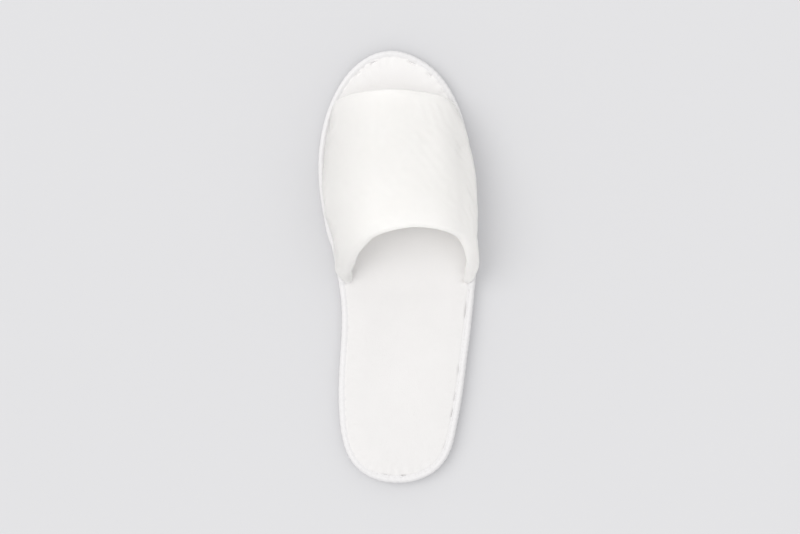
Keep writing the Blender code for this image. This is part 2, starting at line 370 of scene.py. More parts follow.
class Net:
    def __init__(self, tree):
        self.tree = tree

    def make(self, kind, settings, values, output=0):
        made = self.tree.nodes.new(kind)
        for name, value in settings.items():
            setattr(made, name, value)
        for name, value in values.items():
            self.feed(shownSocket(made.inputs, name), value)
        return Wire(self, shownSocket(made.outputs, output)) if made.outputs else made

    def feed(self, socket, value):
        if isinstance(value, Wire):
            self.tree.links.new(value.socket, socket)
        else:
            socket.default_value = value

    def maths(self, operation, *values):
        vectors = any(isVector(value) for value in values)
        node = self.tree.nodes.new("ShaderNodeVectorMath" if vectors else "ShaderNodeMath")
        node.operation = operation
        for socket, value in zip(node.inputs, values):
            if vectors and isinstance(value, (int, float)):
                value = (value, value, value)
            self.feed(socket, value)
        return Wire(self, node.outputs[0])

    def mix(self, share, low, high):
        values = {"Factor": share, "A": low, "B": high}
        return self.make("ShaderNodeMix", {"data_type": "RGBA"}, values, "Result")

    def noise(self, place, scale, detail, output=0):
        values = {"Vector": place, "Scale": scale, "Detail": detail}
        return self.make("ShaderNodeTexNoise", {}, values, output)

    def parts(self, vector, axis="X"):
        return self.make("ShaderNodeSeparateXYZ", {}, {"Vector": vector}, axis)

    def vector(self, values):
        return self.make("ShaderNodeCombineXYZ", {}, values, "Vector")

    def place(self):
        return self.make("ShaderNodeTexCoord", {}, {}, "Object")

    def clothUV(self):
        return self.make("ShaderNodeUVMap", {"uv_map": "UVMap"}, {})

    def finish(self, look, colour, roughness, height):
        # the shader of every piece: its own pattern over its fixed values
        strength, depth = look["relief"]
        relief = self.make("ShaderNodeBump", {}, {"Strength": strength, "Distance": depth, "Height": height})
        values = {"Base Color": colour, "Roughness": roughness, "Normal": relief, **look["finish"]}
        return self.make("ShaderNodeBsdfPrincipled", {}, values)


class GeometryNet(Net):
    # a geometry tree with the piece's own geometry and named sizes as inputs
    def __init__(self, name, inputs):
        Net.__init__(self, bpy.data.node_groups.new(name, "GeometryNodeTree"))
        sockets = self.tree.interface
        sockets.new_socket("Geometry", in_out="INPUT", socket_type="NodeSocketGeometry")
        for label, (kind, _) in inputs.items():
            sockets.new_socket(label, in_out="INPUT", socket_type="NodeSocket" + kind)
        sockets.new_socket("Geometry", in_out="OUTPUT", socket_type="NodeSocketGeometry")
        self.inputs = inputs
        start = self.tree.nodes.new("NodeGroupInput")
        self.given = {s.name: Wire(self, s) for s in start.outputs if s.name}

    def geometry(self, kind, values, settings=None, output="Geometry"):
        return self.make("GeometryNode" + kind, settings or {}, values, output)

    def position(self):
        return self.make("GeometryNodeInputPosition", {}, {})

    def attribute(self, name, kind="FLOAT"):
        return self.geometry("InputNamedAttribute", {"Name": name}, {"data_type": kind}, "Attribute")

    def store(self, geometry, name, value, kind, domain):
        values = {"Geometry": geometry, "Name": name, "Value": value}
        return self.geometry("StoreNamedAttribute", values, {"data_type": kind, "domain": domain})

    def random(self, kind, low, high):
        values = {"Min": low, "Max": high, "Seed": self.given["Seed"]}
        return self.make("FunctionNodeRandomValue", {"data_type": kind}, values, "Value")

    def copies(self, points, item, turn, size=(1.0, 1.0, 1.0)):
        values = {"Points": points, "Instance": item, "Rotation": turn, "Scale": size}
        return self.geometry("InstanceOnPoints", values, output="Instances")

    def run(self, item, result, material, name, smooth=True):
        # ends the tree, runs it on the item as a modifier and gives back the plain mesh it makes
        if smooth:
            result = self.geometry("SetShadeSmooth", {"Geometry": result})
        real = self.geometry("RealizeInstances", {"Geometry": result})
        coloured = self.geometry("SetMaterial", {"Geometry": real, "Material": material})
        end = self.tree.nodes.new("NodeGroupOutput")
        self.tree.links.new(coloured.socket, end.inputs[0])
        work = item.modifiers.new(name, "NODES")
        work.node_group = self.tree
        for socket in self.tree.interface.items_tree:
            if socket.in_out == "INPUT" and socket.name in self.inputs:
                work[socket.identifier] = self.inputs[socket.name][1]
        bpy.context.view_layer.update()
        seen = item.evaluated_get(bpy.context.evaluated_depsgraph_get())
        mesh = bpy.data.meshes.new_from_object(seen)
        item.modifiers.remove(work)
        mesh.name = name
        return placed(name, mesh)


def newMaterial(name, build, look):
    material = bpy.data.materials.new(name)
    material.use_nodes = True
    material.node_tree.nodes.clear()
    net = Net(material.node_tree)
    net.make("ShaderNodeOutputMaterial", {}, {"Surface": build(net, look)})
    return material


def guideLine(name, points, attributes, closed=False):
    # a polyline for a geometry tree to follow, with values on its points
    count = len(points)
    mesh = bpy.data.meshes.new(name)
    ends = [(k, (k + 1) % count) for k in range(count if closed else count - 1)]
    mesh.from_pydata([tuple(map(float, p)) for p in points], ends, [])
    for label, values in attributes.items():
        kind, field = ("FLOAT_VECTOR", "vector") if np.ndim(values) == 2 else ("FLOAT", "value")
        made = mesh.attributes.new(label, kind, "POINT")
        made.data.foreach_set(field, np.asarray(values, np.float32).ravel())
    return placed(name, mesh)


def dropGuide(*items):
    for item in items:
        bpy.data.objects.remove(item, do_unlink=True)


nap = {
    "light": (0.991, 0.986, 0.978, 1),
    "shade": (0.971, 0.965, 0.953, 1),
    "cloudSize": 16 * mm,  # patches where the pile leans another way
    "tuftSize": 0.9 * mm,
    "fibreSize": 0.28 * mm,
    "relief": (1.0, 0.12 * mm),
    "finish": {"Sheen Weight": 0.12, "Sheen Roughness": 0.6, "Specular IOR Level": 0.2},
    "seeThrough": 0.5,  # share of the light on each skin that goes on through the cloth
    "inner": (0.981, 0.975, 0.966, 1),  # colour that this light takes
    # painted shade: places across and along the foot, and how much lighter or darker the pile is painted
    # there; darker on the inner and outer sides and towards the throat
    "across": (
        (-44 * mm, -0.145), (-18 * mm, 0.0), (22 * mm, 0.0), (37 * mm, -0.075), (44 * mm, 0.01)
    ),
    "along": ((-4 * mm, -0.12), (28 * mm, 0.0)),
}
pad = dict(nap, light=(0.718, 0.707, 0.703, 1), shade=(0.696, 0.685, 0.681, 1), cloudSize=22 * mm)
pad.update(relief=(1.0, 0.09 * mm), seeThrough=0.0, across=((-40 * mm, 0.0), (40 * mm, 0.0)))
# painted light: the pad is painted lighter under the upper, where the upper shades it, and on the toe bed in
# front of it
pad["along"] = ((-18 * mm, 0.0), (18 * mm, 0.12), (70 * mm, 0.10), (105 * mm, 0.085))
# painted light: the pad's fibres are painted lighter than the pad, against the shade they cast on one
# another
padFibrePaintedLight = dict(pad, light=(0.860, 0.850, 0.845, 1), shade=(0.840, 0.830, 0.825, 1))
mostPaintedChange = 0.2  # change of lightness that painted light or shade reaches at most


def paintLightAlong(net, colour, look, axis, table):
    # paints light or shade along one axis, mixing towards white or black: each row a place and how much
    # lighter it is painted there
    at = net.parts(net.place(), axis)
    gain = at * 0.0 + table[0][1]
    for (start, before), (end, after) in zip(table[:-1], table[1:]):
        gain = gain + ((at - start) / (end - start)).held() * (after - before)
    for change in (mostPaintedChange, -mostPaintedChange):
        # the colour at the most painted light or shade
        turned = tuple(min(v * (1 + change), 1.0) for v in look["light"][:3]) + (1,)
        colour = net.mix((gain / change).maths("MAXIMUM", 0.0), colour, turned)
    return colour


def litThrough(net, cloth, look):
    # thin white cloth lets part of the light through
    if not look["seeThrough"]:
        return cloth
    behind = net.make("ShaderNodeBsdfTranslucent", {}, {"Color": look["inner"]})
    return net.make("ShaderNodeMixShader", {}, {0: look["seeThrough"], 1: cloth, 2: behind})


def pileCloth(net, look):
    place = net.place()
    clouds = net.noise(place, 1 / look["cloudSize"], 3.0)
    voronoi = {"Vector": place, "Scale": 1 / look["tuftSize"]}
    tufts = net.make("ShaderNodeTexVoronoi", {"feature": "SMOOTH_F1"}, voronoi)
    fibres = net.noise(place, 1 / look["fibreSize"], 2.0)
    leaning = ((clouds - 0.35) * 2.6).held()
    depth = (1 - tufts) * 0.55 + fibres * 0.45
    # painted shade: the colour is darker where the relief is low, in the hollows between the tufts; the
    # leaning patches are the pile's own tone
    colour = net.mix(leaning * 0.7 + depth * 0.3, look["shade"], look["light"])
    # painted shade on the vamp's sides and towards its throat, painted light on the pad under the upper and
    # on the toe bed
    colour = paintLightAlong(net, colour, look, "X", look["across"])
    colour = paintLightAlong(net, colour, look, "Y", look["along"])
    return litThrough(net, net.finish(look, colour, 0.96 - leaning * 0.05, depth), look)


pile = {
    "density": 3.6e6,  # fibres a square metre where the pile is thickest
    "length": 0.60 * mm,
    "width": 0.060 * mm,
    "lean": 1.2,
    "patch": 5 * mm,  # neighbours within it lean alike
    "seed": 5,
}
padPileSize = dict(pile, length=0.50 * mm, width=0.050 * mm, seed=6)


def growPile(name, piece, amount, look, material):
    # short fibres standing on a piece of cloth; amount is from 0 to 1 at each of its points
    cover = piece.data.attributes.new("pile", "FLOAT", "POINT")
    cover.data.foreach_set("value", np.asarray(amount, np.float32).ravel())
    net = GeometryNet(name, {
        "Density": ("Float", look["density"]),
        "Length": ("Float", look["length"]),
        "Width": ("Float", look["width"]),
        "Lean": ("Float", look["lean"]),
        "Patches": ("Float", 1 / look["patch"]),
        "Seed": ("Int", look["seed"]),
    })
    given = net.given
    spread = {
        "Mesh": given["Geometry"],
        "Density": net.attribute("pile") * given["Density"],
        "Seed": given["Seed"],
    }
    points = net.geometry("DistributePointsOnFaces", spread, {"distribute_method": "RANDOM"}, "Points")
    sizes = {
        "Vertices": 3,
        "Radius Top": 0.0,
        "Radius Bottom": given["Width"] * 0.5,
        "Depth": given["Length"],
    }
    fibre = net.geometry("MeshCone", sizes, {"fill_type": "NGON"}, "Mesh")
    patches = net.noise(net.position(), given["Patches"], 1.0, "Color")
    leaning = (patches - (0.5, 0.5, 0.5)) * (2.0, 2.0, 0.0) * given["Lean"]
    own = net.random("FLOAT_VECTOR", (-0.5, -0.5, 0.0), (0.5, 0.5, 0.0))
    turns = {"Rotation": points.also("Rotation"), "Rotate By": leaning + own}
    turn = net.make("FunctionNodeRotateRotation", {"rotation_space": "LOCAL"}, turns, "Rotation")
    fibres = net.copies(points, fibre, turn, net.random("FLOAT", 0.5, 1.15))
    made = net.run(piece, fibres, material, name)
    piece.data.attributes.remove(piece.data.attributes["pile"])
    return made


weave = {
    "light": (0.747, 0.738, 0.742, 1),
    "shade": (0.692, 0.683, 0.687, 1),
    "pitch": 0.55 * mm,  # threads of the tape
    "uneven": 3 * mm,
    # painted light: the tape is painted a little lighter towards the toe
    "along": ((60 * mm, 0.0), (110 * mm, 0.02)),
    "relief": (1.0, 0.05 * mm),
    "finish": {"Sheen Weight": 0.15, "Sheen Roughness": 0.5, "Specular IOR Level": 0.3},
}


def wovenTape(net, look):
    spot = net.parts(net.clothUV() / look["pitch"])
    warp = (spot * (2 * math.pi)).maths("SINE")
    weft = (spot.also("Y") * (2 * math.pi)).maths("SINE")
    threads = (warp * weft) * 0.5 + 0.5
    uneven = net.noise(net.place(), 1 / look["uneven"], 2.0)
    # painted shade between the threads: the colour follows the weave's relief; the uneven patches are the
    # tape's own tone
    colour = net.mix(threads * 0.4 + uneven * 0.6, look["shade"], look["light"])
    # painted light towards the toe
    colour = paintLightAlong(net, colour, look, "Y", look["along"])
    return net.finish(look, colour, 0.82 + uneven * 0.1, threads + uneven)


thread = {
    "light": (0.82, 0.81, 0.81, 1),
    "shade": (0.70, 0.69, 0.69, 1),
    "twist": 0.35 * mm,
    "relief": (0.8, 0.04 * mm),
    "finish": {"Specular IOR Level": 0.4},
}


def sewingThread(net, look):
    spot = net.parts(net.place())
    diagonal = spot + spot.also("Y") + spot.also("Z")
    twist = (diagonal * (2 * math.pi / look["twist"])).maths("SINE") * 0.5 + 0.5
    # painted shade in the twist's grooves: the colour follows the thread's relief
    return net.finish(look, net.mix(twist, look["shade"], look["light"]), 0.6 + twist * 0.15, twist)


lining = {
    "light": (0.987, 0.985, 0.979, 1),
    "shade": (0.957, 0.953, 0.945, 1),
    "rib": 0.8 * mm,
    "uneven": 7 * mm,
    "relief": (1.0, 0.06 * mm),
    "finish": {"Sheen Weight": 0.1, "Specular IOR Level": 0.2},
    "seeThrough": 0.88,
    "inner": (0.972, 0.969, 0.962, 1),
}


def knitLining(net, look):
    spot = net.parts(net.clothUV() / look["rib"])
    ribs = (spot * (2 * math.pi)).maths("SINE")
    loops = (spot.also("Y") * (3 * math.pi) + ribs).maths("SINE")
    knit = (ribs * 0.6 + loops * 0.4) * 0.5 + 0.5
    uneven = net.noise(net.place(), 1 / look["uneven"], 2.0)
    # painted shade in the knit's hollows: the colour follows its relief; the uneven patches are the lining's
    # own tone
    colour = net.mix(knit * 0.5 + uneven * 0.5, look["shade"], look["light"])
    return litThrough(net, net.finish(look, colour, 0.9 - uneven * 0.1, knit), look)


foam = {
    "light": (0.86, 0.86, 0.85, 1),
    "shade": (0.74, 0.74, 0.73, 1),
    "cell": 0.7 * mm,
    "marks": 14 * mm,
    "relief": (0.7, 0.05 * mm),
    "finish": {},
}


def soleFoam(net, look):
    place = net.place()
    cells = net.make("ShaderNodeTexVoronoi", {}, {"Vector": place, "Scale": 1 / look["cell"]})
    marks = net.noise(place, 1 / look["marks"], 4.0)
    worn = ((marks - 0.45) * 3.0).held()
    # painted shade between the cells, where the relief is low; the worn marks are the foam's own wear
    colour = net.mix(cells * 0.3 + worn * 0.7, look["light"], look["shade"])
    return net.finish(look, colour, 0.62 + worn * 0.2, 1 - cells)


napCloth = newMaterial("napCloth", pileCloth, nap)
padCloth = newMaterial("padCloth", pileCloth, pad)
padPileCloth = newMaterial("padPileCloth", pileCloth, padFibrePaintedLight)
tapeCloth = newMaterial("tapeCloth", wovenTape, weave)
threadTwist = newMaterial("threadTwist", sewingThread, thread)
liningKnit = newMaterial("liningKnit", knitLining, lining)
foamSheet = newMaterial("foamSheet", soleFoam, foam)
print("materials made")


vamp = {
    "rows": 150,  # faces along, from throat to toe edge
    "columns": 210,  # faces across, from seam to seam
    "rollSteps": 14,
    "wall": 2.9 * mm,
    "hemWall": 4.6 * mm,  # the cloth folded back on itself
    "hemFade": 10 * mm,
    "allowance": 1.5 * mm,
    "fullWallAt": 5 * mm,
    "footInset": 5.7 * mm,
    "riser": 2.2 * mm,
    "fold": 0.6 * mm,
    "startInset": 2.3 * mm,
    "hemRise": 0.25 * mm,  # how far the folded edge stands proud
    "tuckPitch": 7 * mm,  # gathers where the cloth is sewn into the edge
    "tuckHeight": 0.35 * mm,
    "tuckReach": 11 * mm,
    "tuckChange": 2.2,  # gathers until their spacing changes
    "uneven": ((0.35 * mm, 26 * mm, 11, 2), (0.10 * mm, 7 * mm, 12, 1)),  # height, patch, seed, detail
    "unevenFrom": (1.5 * mm, 5 * mm),  # height over the seam where that begins, and its ramp
    "creaseFade": 0.25,  # share of a crease at each end over which it fades
    "hemStart": 1.5 * mm,  # from the edge, where the folded cloth begins to thin out
    "levelFrom": (5 * mm, 3 * mm),  # thickness from which bunched cloth lies level, and its ramp
    "pile": 0.7,  # of the thickness it has on the folded edges
    "pileFrom": (3 * mm, 2 * mm),  # height over the seam where the pile begins, and its ramp
    "pileHem": 4 * mm,  # how far the thicker pile of a folded edge reaches
    "faceSize": (0.8 * mm, 0.65 * mm),  # of a face, for the weave
    # section, inner foot, outer foot, crown along, crown across, crown height, inner tuck, outer tuck
    "sections": (
        ("toe edge", 0.873, 0.868, 0.906, -0.045, 26.0 * mm, 19, 17),
        ("toes", 0.765, 0.762, 0.819, -0.025, 33.5 * mm, 17, 24),
        ("joint", 0.650, 0.645, 0.734, 0.000, 40.0 * mm, 27, 26),
        ("instep", 0.543, 0.538, 0.657, 0.030, 44.8 * mm, 31, 26),
        ("throat edge", 0.470, 0.463, 0.589, 0.050, 48.0 * mm, 25, 27),
    ),
    # crease, from (across, along), to (across, along), half width, height; shares of the vamp, from
    # its inner foot and from its toe edge
    "creases": (
        ("side break", (0.66, 0.10), (0.72, 0.78), 9.0 * mm, 0.55 * mm),
        ("side trough", (0.76, 0.16), (0.79, 0.60), 6.0 * mm, -0.50 * mm),
        ("side ridge", (0.83, 0.22), (0.85, 0.62), 6.0 * mm, 0.45 * mm),
        ("inner trough", (0.24, 0.35), (0.18, 0.85), 8.0 * mm, -0.45 * mm),
        ("inner break", (0.31, 0.25), (0.27, 0.80), 8.0 * mm, 0.35 * mm),
        ("throat dip", (0.30, 0.88), (0.62, 0.90), 6.0 * mm, -0.30 * mm),
        ("toe dip", (0.36, 0.12), (0.62, 0.10), 5.0 * mm, -0.25 * mm),
    ),
    # how the throat edge leans and bunches up, from the inner allowance to the outer one:
    # place, share across, shift to the outer side, shift towards the toe, thickness
    "throat": (
        ("inner allowance", 0.021, 0.0, 0.0, 1.5 * mm),
        ("inner bed", 0.031, -2.8 * mm, -1.8 * mm, 6.2 * mm),
        ("inner flop", 0.055, -4.6 * mm, -2.4 * mm, 12.6 * mm),
        ("inner roll", 0.085, -2.6 * mm, -2.6 * mm, 15.0 * mm),
        ("inner lip", 0.125, -0.2 * mm, -2.2 * mm, 12.4 * mm),
        ("inner rise", 0.175, 1.9 * mm, -1.2 * mm, 8.8 * mm),
        ("inner shoulder", 0.250, 3.3 * mm, -0.9 * mm, 7.0 * mm),
        ("inner crown", 0.360, 1.8 * mm, -0.9 * mm, 5.4 * mm),
        ("crown", 0.500, 0.4 * mm, 0.2 * mm, 4.6 * mm),
        ("outer shoulder", 0.620, 0.6 * mm, 1.2 * mm, 5.0 * mm),
        ("outer turn", 0.700, 1.4 * mm, 1.4 * mm, 5.8 * mm),
        ("outer rise", 0.780, 0.6 * mm, 0.6 * mm, 7.0 * mm),
        ("outer lip", 0.860, 0.4 * mm, 0.0, 8.4 * mm),
        ("outer flop", 0.920, 2.0 * mm, -0.4 * mm, 8.8 * mm),
        ("outer bed", 0.962, 2.6 * mm, -0.6 * mm, 5.6 * mm),
        ("outer allowance", 0.980, 0.0, 0.0, 1.5 * mm),
    ),
    "evenOver": 12,  # columns
    "leanReach": 30 * mm,  # how far from the throat edge these fade out
    "bunchReach": 15 * mm,
}


def vampSection(values):
    # the outer face across one section, from the inner allowance to the outer one
    innerFoot, outerFoot, crownAlong, crownAcross, crownHeight, innerTuck, outerTuck = values
    look = vamp
    inset, fold = look["footInset"], look["fold"]
    base = sole["allowanceTop"] + look["riser"]
    halves = []
    for side, foot, tuck in (("inner", innerFoot, innerTuck), ("outer", outerFoot, outerTuck)):
        tuck = math.radians(tuck)
        share = edge.shareAt(side, alongY(foot), inset)
        line = []
        for flat in np.linspace(look["startInset"], inset - fold, 6):
            line.append((*edge.at(share, flat), sole["allowanceTop"]))
        for turn in np.linspace(0, math.pi / 2, 5)[1:]:
            at = edge.at(share, inset - fold + fold * math.sin(turn))
            line.append((*at, sole["allowanceTop"] + fold * (1 - math.cos(turn))))
        footX, footY = edge.at(share, inset)
        rise = crownHeight - base
        semiHeight = rise / (1 + math.sin(tuck))
        centre = base + semiHeight * math.sin(tuck)
        crownX = crownAcross * ballWidth
        semiWidth = (crownX - footX) / math.cos(tuck)
        for angle in np.linspace(-tuck, math.pi / 2, 60):
            z = centre + semiHeight * math.sin(angle)
            y = footY + (alongY(crownAlong) - footY) * (z - base) / rise
            line.append((crownX - semiWidth * math.cos(angle), y, z))
        halves.append(line)
    points = np.array(halves[0] + halves[1][-2::-1])
    points[:, 2] += springAt(points[:, 1])
    return points


def vampFace():
    # the outer face as a fine grid: columns across, rows from toe edge to throat
    sections = vamp["sections"]
    places = np.linspace(0, len(sections) - 1, 2 * vamp["rows"] + 1)
    values = splineRows([row[1:] for row in sections], places)
    return np.array([resample(vampSection(row), vamp["columns"] + 1) for row in values]).transpose(1, 0, 2)


def vampPath(face, start, end, steps=14):
    columns, rows = face.shape[0] - 1, face.shape[1] - 1
    share = np.linspace(0, 1, steps)
    u = (start[0] + (end[0] - start[0]) * share) * columns
    v = (start[1] + (end[1] - start[1]) * share) * rows
    return face[np.round(u).astype(int), np.round(v).astype(int)]


def nearness(points, path):
    # distance of each point from a polyline of points, and how far along it the nearest place is
    best, place = np.full(len(points), np.inf), np.zeros(len(points))
    for k, (a, b) in enumerate(zip(path[:-1], path[1:])):
        way = b - a
        t = np.clip(((points - a) @ way) / max(way @ way, 1e-12), 0, 1)
        away = np.linalg.norm(points - a - t[:, None] * way, axis=1)
        closer = away < best
        best = np.where(closer, away, best)
        place = np.where(closer, (k + t) / (len(path) - 1), place)
    return best, place


def vampRelief(face, above):
    # height added to the outer face: creases, gathers at the seams and soft unevenness
    look = vamp
    points = face.reshape(-1, 3)
    above = above.ravel()
    height = np.zeros(len(points))
    for _, start, end, halfWidth, amount in look["creases"]:
        away, place = nearness(points, vampPath(face, start, end))
        ends = smoothStep(place / look["creaseFade"]) * smoothStep((1 - place) / look["creaseFade"])
        height += amount * np.exp(-((away / halfWidth) ** 2) * 1.6) * (0.25 + 0.75 * ends)
    start, ramp = look["unevenFrom"]
    free = smoothStep((above - start) / ramp)
    for amount, patch, seed, detail in look["uneven"]:
        height += amount * softNoise(points, patch, seed, detail) * free
    phase = points[:, 1] / look["tuckPitch"]
    line = np.column_stack([phase, np.sign(points[:, 0]), np.zeros(len(points))])
    wobble = softNoise(line, look["tuckChange"], 8)
    fade = smoothStep(above / (3 * mm)) * np.clip(1 - above / look["tuckReach"], 0, 1) ** 1.3
    tucks = np.sin(2 * math.pi * (phase + 0.4 * wobble))
    height += look["tuckHeight"] * tucks * (0.7 + 0.5 * wobble) * fade
    return height.reshape(face.shape[:2])


def aboveAllowance(face):
    return face[:, :, 2] - springAt(face[:, :, 1]) - sole["allowanceTop"]


def throatTable(face):
    # the throat table spread over the vamp's grid: shifts of the whole wall, thicknesses at the throat,
    # and how much of that thickness each place has
    rows = np.array([row[1:] for row in vamp["throat"]])
    across = np.linspace(0, 1, face.shape[0])
    values = smoothTable(rows[:, 0], rows[:, 1:], across)
    fromThroat = lengthsAlong(face[:, ::-1])[:, ::-1]
    lean = hill(fromThroat / vamp["leanReach"])
    push = np.dstack([values[:, :1] * lean, values[:, 1:2] * lean, np.zeros_like(lean)])
    return push, values[:, 2], hill(fromThroat / vamp["bunchReach"])


drape = {
    "steps": (5, 10),  # columns and rows of the vamp's fine grid between the sheet's own points
    "grow": 10,  # the sheet is simulated this much larger
    "frames": 22,
    "ease": -0.05,  # how much too wide it is cut
    "mass": 0.10,
    "stiffness": 14.0,
    "bending": 0.1,
    "damping": 3.0,
    "quality": 8,
    "weight": 0.1,
    "push": 0.5,  # of the padding from below
    "heldBelow": 4 * mm,
    "foldReach": 6,  # a change that spreads further than this many points isn't a fold
    "cap": 0.9 * mm,
}


def settleCloth(face, above):
    # The vamp as a thin sheet, held at its seams and cut too wide, settles under its own weight and the
    # padding's push. Its folds are kept and capped, and the vamp's overall shape stays as it was cut.
    look = drape
    a, b = look["steps"]
    sheet = face[::a, ::b]
    columns, rows = sheet.shape[:2]
    item = newPiece("vampSheet", sheet.reshape(-1, 3) * look["grow"], gridFaces(columns, rows)[1])
    held = item.vertex_groups.new(name="held")
    held.add([int(k) for k in np.flatnonzero(above[::a, ::b].ravel() < look["heldBelow"])], 1.0, "REPLACE")
    cloth = item.modifiers.new("settle", "CLOTH").settings
    cloth.vertex_group_mass = "held"
    cloth.mass = look["mass"]
    cloth.quality = look["quality"]
    cloth.tension_stiffness = look["stiffness"]
    cloth.compression_stiffness = look["stiffness"]
    cloth.shear_stiffness = look["stiffness"] / 2
    cloth.bending_stiffness = look["bending"]
    cloth.air_damping = look["damping"]
    cloth.shrink_min = look["ease"]
    cloth.use_pressure = True
    cloth.uniform_pressure_force = look["push"]
    cloth.effector_weights.gravity = look["weight"]
    scene = bpy.context.scene
    for moment in range(1, look["frames"] + 1):
        scene.frame_set(moment)
    seen = item.evaluated_get(bpy.context.evaluated_depsgraph_get())
    settled = np.array([tuple(v.co) for v in seen.data.vertices]).reshape(sheet.shape)
    moved = settled / look["grow"] - sheet
    scene.frame_set(1)
    bpy.data.objects.remove(item, do_unlink=True)
    across = evened(moved, look["foldReach"]).transpose(1, 0, 2)
    folds = moved - evened(across, look["foldReach"]).transpose(1, 0, 2)
    length = np.linalg.norm(folds, axis=2)[:, :, None]
    folds *= look["cap"] / (look["cap"] + length)
    wide = splineRows(folds.reshape(columns, -1), np.linspace(0, columns - 1, face.shape[0]))
    wide = wide.reshape(-1, rows, 3).transpose(1, 0, 2).reshape(rows, -1)
    full = splineRows(wide, np.linspace(0, rows - 1, face.shape[1]))
    return full.reshape(face.shape[1], -1, 3).transpose(1, 0, 2)


class VampWall:
    # The vamp's wall as a place: column across, distance along from the toe edge, depth from the outer face
    def __init__(self):
        face = vampFace()
        self.relief = vampRelief(face, aboveAllowance(face))
        push, self.throat, self.bunch = throatTable(face)
        face = face + push
        face = face + settleCloth(face, aboveAllowance(face))
        self.face = face
        self.above = aboveAllowance(face)
        self.along = lengthsAlong(face)
        self.growth = smoothStep(self.above / vamp["fullWallAt"])
        # thick cloth bends less sharply inside: directions are evened out over the neighbouring columns
        normal = gridNormals(face)
        normal += (evened(normal, vamp["evenOver"]) - normal) * self.growth[:, :, None]
        normal[:, :, 2] += (np.maximum(normal[:, :, 2], 0) - normal[:, :, 2]) * self.bunch
        # where the cloth is bunched up, its thickness lies level
        start, ramp = vamp["levelFrom"]
        level = smoothStep((self.throat - start) / ramp)[:, None] * self.bunch
        side = np.sign(face[:, :, :1]) * np.array([1.0, 0.0, 0.0])
        self.normal = normal * (1 - level[:, :, None]) + side * level[:, :, None]

    def read(self, table, column, distance):
        return np.interp(distance, self.along[column], table[column])

    def skins(self, column, distance):
        # depths of the outer and the inner skin
        length = self.along[column, -1]
        fromEdge = np.minimum(distance, length - distance)
        hem = hill(np.clip(fromEdge - vamp["hemStart"], 0, None) / vamp["hemFade"])
        growth = self.read(self.growth, column, distance)
        full = vamp["wall"] + (vamp["hemWall"] - vamp["wall"]) * hem
        thick = vamp["allowance"] + (full - vamp["allowance"]) * growth
        thick += (self.throat[column] - thick) * self.read(self.bunch, column, distance)
        lift = self.read(self.relief, column, distance) + vamp["hemRise"] * hem * growth
        lift = lift * (0.35 + 0.65 * smoothStep((fromEdge - 2 * mm) / (4 * mm)))
        return -lift, thick - 0.6 * lift

    def at(self, column, distance, depth):
        along = self.along[column]
        point = np.stack([np.interp(distance, along, self.face[column, :, k]) for k in range(3)], axis=1)
        way = np.stack([np.interp(distance, along, self.normal[column, :, k]) for k in range(3)], axis=1)
        way /= np.linalg.norm(way, axis=1)[:, None]
        return point - way * np.asarray(depth)[:, None]


def upperCover(ramp, margin):
    # round the edge: 1 where the upper's allowance lies under the tape, and how far each place lies
    # past the upper's ends
    rows = vamp["sections"]
    y = edge.points[:, 1]
    toeSide = np.roll(np.arange(edge.count), -edge.toe)
    isInner = np.zeros(edge.count, bool)
    isInner[toeSide[: (edge.heel - edge.toe) % edge.count]] = True
    toeEnd = np.where(isInner, alongY(rows[0][1]), alongY(rows[0][2]))
    throatEnd = np.where(isInner, alongY(rows[-1][1]), alongY(rows[-1][2]))
    behind = smoothStep((y - (throatEnd - margin - ramp)) / ramp)
    before = smoothStep(((toeEnd + margin + ramp) - y) / ramp)
    return behind * before, np.maximum(throatEnd - y, y - toeEnd)


def buildVamp(wall):
    look = vamp
    columns, rows, steps = look["columns"], look["rows"], look["rollSteps"]
    turn = np.linspace(0, math.pi, steps + 2)[1:-1]
    grid = []
    for column in range(columns + 1):
        length = wall.along[column, -1]
        rolls, radii = [], []
        for end, sign in ((length, 1), (0.0, -1)):
            # the edge is rounded: a half turn as deep as the wall is thick there
            outer, inner = wall.skins(column, np.array([end - sign * 2 * mm]))
            radius = float(inner[0] - outer[0]) / 2
            outer, inner = wall.skins(column, np.array([end - sign * radius]))
            middle, reach = (outer[0] + inner[0]) / 2, (inner[0] - outer[0]) / 2
            away = end - sign * radius * (1 - np.sin(turn))
            rolls.append(wall.at(column, away, middle - reach * np.cos(turn)))
            radii.append(radius)
        distance = np.linspace(radii[1], length - radii[0], rows + 1)
        outer, inner = wall.skins(column, distance)
        outerLine, innerLine = wall.at(column, distance, outer), wall.at(column, distance, inner)
        grid.append(np.concatenate([outerLine, rolls[0], innerLine[::-1], rolls[1][::-1]]))
    return shellPiece("upper_cloth", np.array(grid), look["faceSize"], 2 * (rows + 1) + steps - 1)


def vampPile(wall):
    # how thick the pile stands round each of the vamp's loops: most of it on the folded edges
    look = vamp
    start, ramp = look["pileFrom"]
    amounts = []
    for column in range(look["columns"] + 1):
        length = wall.along[column, -1]
        distance = np.linspace(0, length, look["rows"] + 1)
        clear = smoothStep((wall.read(wall.above, column, distance) - start) / ramp)
        hem = hill(np.minimum(distance, length - distance) / look["pileHem"])
        roll = np.ones(look["rollSteps"])
        outer = (look["pile"] + (1 - look["pile"]) * hem) * clear
        amounts.append(np.concatenate([outer, roll * clear[-1], (hem * clear)[::-1], roll * clear[0]]))
    return np.array(amounts)


vampWall = VampWall()
upperCloth = buildVamp(vampWall)
upperCloth.data.materials.append(napCloth)
vampNap = growPile("upper_pile", upperCloth, vampPile(vampWall), pile, napCloth)
print("vamp made:", len(upperCloth.data.polygons), "faces,", len(vampNap.data.polygons), "on its pile")


